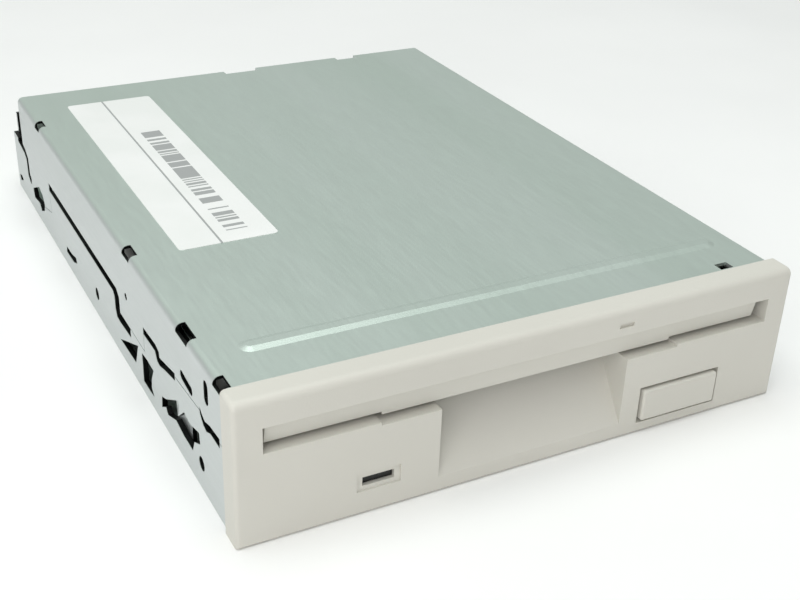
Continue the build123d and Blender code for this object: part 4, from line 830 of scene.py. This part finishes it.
# %% Film of the heads
FILM_HALF_MM = 3.5
FILM_THICK_MM = 0.12
FILM_FOOT_MM = FRONT_MM + 119.2
FILM_LOW_MM = 4.85
FILM_HIGH_MM = 8.35
FILM_BEND_MM = FRONT_MM + 125.2
BEND_STEPS = 14


def push(shape, edge, step_mm, count):
    """Extend a strip from one edge in equal steps along Y, and give back its last edge."""
    for _ in range(count):
        pushed = bmesh.ops.extrude_edge_only(shape, edges=[edge])["geom"]
        edge = next(part for part in pushed if isinstance(part, bmesh.types.BMEdge))
        bmesh.ops.translate(shape, vec=(0, step_mm * MM, 0), verts=edge.verts)
    return edge


shape = bmesh.new()
corners = [Vector((side * FILM_HALF_MM, FILM_FOOT_MM, FILM_LOW_MM)) * MM for side in (-1, 1)]
edge = shape.edges.new([shape.verts.new(corner) for corner in corners])
edge = push(shape, edge, step_mm=1.5, count=4)
bend = bmesh.ops.spin(
    shape,
    geom=[*edge.verts, edge],
    cent=(0, FILM_BEND_MM * MM, (FILM_LOW_MM + FILM_HIGH_MM) / 2 * MM),
    axis=(1, 0, 0),
    angle=math.pi,
    steps=BEND_STEPS,
)["geom_last"]
edge = next(part for part in bend if isinstance(part, bmesh.types.BMEdge))
push(shape, edge, step_mm=-1.7, count=6)
bmesh.ops.recalc_face_normals(shape, faces=shape.faces)
bmesh.ops.solidify(shape, geom=shape.faces[:], thickness=FILM_THICK_MM * MM)
for face in shape.faces:
    face.smooth = True
film_piece = piece_from(shape, "head_film")
film_piece.data.materials.append(finishes["ribbon_film"])
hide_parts("head_ribbon")
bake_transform(film_piece)
print(film_piece.name, "has", len(film_piece.data.polygons), "faces")

# %% [markdown]
# The screws have pan heads with a cross recess, struck into the blank by a punch. The squares of a small
# grid that form a cross are kept, the face of the head is filled in between the cross and a round rim,
# the cross is pushed down, and the rim is rounded. Real screws are the same blank over and over, so one
# function makes them all.

# %% A cross-recess screw
HEAD_SIDES = 24
SHANK_SIDES = 16


def screw(shape, seat, up, head_radius, head_height, shank_radius, shank_length):
    """A pan-head screw whose head sits on a seat point and faces up; sizes in mm."""
    made = bmesh.new()
    bmesh.ops.create_grid(made, x_segments=7, y_segments=7, size=0.6 * head_radius)
    arm = 0.09 * head_radius
    reach = 0.4 * head_radius
    recess = 0.55 * head_height
    round_off = 0.35 * head_height
    struck = [
        face
        for face in made.faces
        if min(abs(c) for c in face.calc_center_median()[:2]) < arm
        and max(abs(c) for c in face.calc_center_median()[:2]) < reach
    ]
    spare = [face for face in made.faces if face not in struck]
    bmesh.ops.delete(made, geom=spare, context="FACES")
    outline = [edge for edge in made.edges if edge.is_boundary]
    ring = bmesh.ops.create_circle(made, segments=HEAD_SIDES, radius=head_radius)["verts"]
    rim = [edge for edge in made.edges if edge.verts[0] in ring and edge.verts[1] in ring]
    bmesh.ops.triangle_fill(made, use_beauty=True, edges=outline + rim)
    pushed = bmesh.ops.extrude_face_region(made, geom=struck)["geom"]
    sunk = [part for part in pushed if isinstance(part, bmesh.types.BMVert)]
    bmesh.ops.delete(made, geom=struck, context="FACES")
    bmesh.ops.translate(made, vec=(0, 0, -recess), verts=sunk)
    skirt = bmesh.ops.extrude_edge_only(made, edges=rim)["geom"]
    hem = [part for part in skirt if isinstance(part, bmesh.types.BMVert)]
    bmesh.ops.translate(made, vec=(0, 0, -head_height), verts=hem)
    bmesh.ops.bevel(
        made,
        geom=rim,
        offset=round_off,
        segments=3,
        profile=0.5,
        affect="EDGES",
        material=-1,
    )
    bmesh.ops.holes_fill(made, edges=[edge for edge in made.edges if edge.is_boundary], sides=0)
    bmesh.ops.create_cone(
        made,
        cap_ends=True,
        segments=SHANK_SIDES,
        radius1=shank_radius,
        radius2=shank_radius,
        depth=shank_length,
        matrix=Matrix.Translation((0, 0, -head_height - shank_length / 2)),
    )
    turn = Matrix.Identity(4) if up > 0 else Matrix.Rotation(math.pi, 4, "X")
    stand = turn @ Matrix.Translation((0, 0, head_height))
    place = Matrix.Scale(MM, 4) @ Matrix.Translation(seat) @ stand
    bmesh.ops.transform(made, matrix=place, verts=made.verts)
    bmesh.ops.recalc_face_normals(made, faces=made.faces)
    shade(made)
    mesh = bpy.data.meshes.new("screw_blank")
    made.to_mesh(mesh)
    made.free()
    shape.from_mesh(mesh)
    bpy.data.meshes.remove(mesh)


print("screw head of", HEAD_SIDES, "sides")

# %% [markdown]
# Eight screws hold the boards from below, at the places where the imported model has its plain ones. Four
# smaller ones hold the bracket of the stepper motor and the clips of the guide rod.

# %% Place the screws
BOARD_UNDER_MM = 2.1
BOARD_SCREW_X_MM = 41.0
BOARD_SCREW_DEPTHS_MM = (21.0, 74.0, 100.0, 138.0)
DECK_TOP_MM = 4.7
# X, distance behind the front, height of the seat, radius of the head
MECHANISM_SCREWS_MM = (
    (15, 109.5, 5.7, 1.3),
    (27, 109.5, 5.7, 1.3),
    (-19.6, 72.9, 5.9, 1.25),
    (-19.6, 117.7, 5.9, 1.25),
)

shape = bmesh.new()
for depth in BOARD_SCREW_DEPTHS_MM:
    for side in (-1, 1):
        seat = (side * BOARD_SCREW_X_MM, FRONT_MM + depth, BOARD_UNDER_MM)
        screw(shape, seat, -1, head_radius=1.9, head_height=1.2, shank_radius=1.0, shank_length=2.6)
fit(piece_from(shape, "cross_board_screws"), "screw_steel", "chassis", "board_screws")

shape = bmesh.new()
for place_x, depth, seat_z, head in MECHANISM_SCREWS_MM:
    seat = (place_x, FRONT_MM + depth, seat_z)
    shank = seat_z - DECK_TOP_MM
    screw(shape, seat, 1, head_radius=head, head_height=1.0, shank_radius=0.8, shank_length=shank)
fit(piece_from(shape, "cross_mechanism_screws"), "screw_steel", "chassis", "mechanism_screws")

# %% [markdown]
# Chips are soldered by rows of bent legs. A leg starts as one small square on the flank of the chip and
# is pushed out, bent towards the board and pushed out again as a foot.

# %% Legs of the chips
# X, distance behind the front, width, depth, rows of legs
CHIPS_MM = ((-20.0, 112.0, 14.0, 14.0, 4), (-2.0, 106.0, 9.0, 7.0, 2), (-20.0, 22.0, 10.0, 7.0, 2))
LEG_PITCH_MM = 0.8
LEG_MM = (0.07, 0.16)
LEG_HEIGHT_MM = 1.45
LEG_BENDS_MM = ((0.4, 0, 0), (0.3, 0, 0.58), (0.5, 0, 0))
FREE_END_MM = 1.2

shape = bmesh.new()
for chip_x, depth, wide, deep, rows in CHIPS_MM:
    for row in range(4):
        if rows == 2 and row % 2 == 0:
            continue
        flank, run = (wide, deep) if row % 2 == 0 else (deep, wide)
        count = int((run - FREE_END_MM) / LEG_PITCH_MM)
        turn = Matrix.Rotation(row * math.pi / 2, 4, "Z")
        outward = Matrix.Translation((chip_x, FRONT_MM + depth, 0)) @ turn
        for leg in range(count):
            start = (flank / 2, (leg - (count - 1) / 2) * LEG_PITCH_MM, LEG_HEIGHT_MM)
            upright = Matrix.Rotation(math.pi / 2, 4, "Y") @ Matrix.Diagonal((*LEG_MM, 1, 1))
            square = bmesh.ops.create_grid(
                shape,
                x_segments=1,
                y_segments=1,
                size=1.0,
                matrix=outward @ Matrix.Translation(start) @ upright,
            )["verts"]
            tip = square[0].link_faces[0]
            for bend in LEG_BENDS_MM:
                moved = bmesh.ops.extrude_discrete_faces(shape, faces=[tip])["faces"]
                tip = moved[0]
                bmesh.ops.translate(shape, vec=outward.to_3x3() @ Vector(bend), verts=tip.verts)
bmesh.ops.holes_fill(shape, edges=[edge for edge in shape.edges if edge.is_boundary], sides=4)
print("legs of", len(shape.faces), "faces")

# %% [markdown]
# Connector pins come through the board and end in little cones of solder. Legs and cones are both
# tinned, so they are one piece with the bright finish.

# %% Solder cones
DATA_X_MM = [-8.0 + 2.54 * (column - 8) for column in range(17)]
DATA_ROWS_MM = (130.0, 132.54)
POWER_X_MM = [30.0 + 2.5 * (column - 1.5) for column in range(4)]
POWER_ROW_MM = 133.0
CONE_TIP_MM = 0.4
CONE_FOOT_MM = 0.85
CONE_MM = 0.7

joints = [(pin_x, depth) for pin_x in DATA_X_MM for depth in DATA_ROWS_MM]
joints += [(pin_x, POWER_ROW_MM) for pin_x in POWER_X_MM]
for pin_x, depth in joints:
    bmesh.ops.create_cone(
        shape,
        cap_ends=True,
        segments=12,
        radius1=CONE_TIP_MM,
        radius2=CONE_FOOT_MM,
        depth=CONE_MM,
        matrix=Matrix.Translation((pin_x, FRONT_MM + depth, BOARD_UNDER_MM - CONE_MM / 2)),
    )
bmesh.ops.scale(shape, vec=(MM, MM, MM), verts=shape.verts)
bmesh.ops.recalc_face_normals(shape, faces=shape.faces)
fit(piece_from(shape, "tinned_legs"), "turned_steel", "chassis")
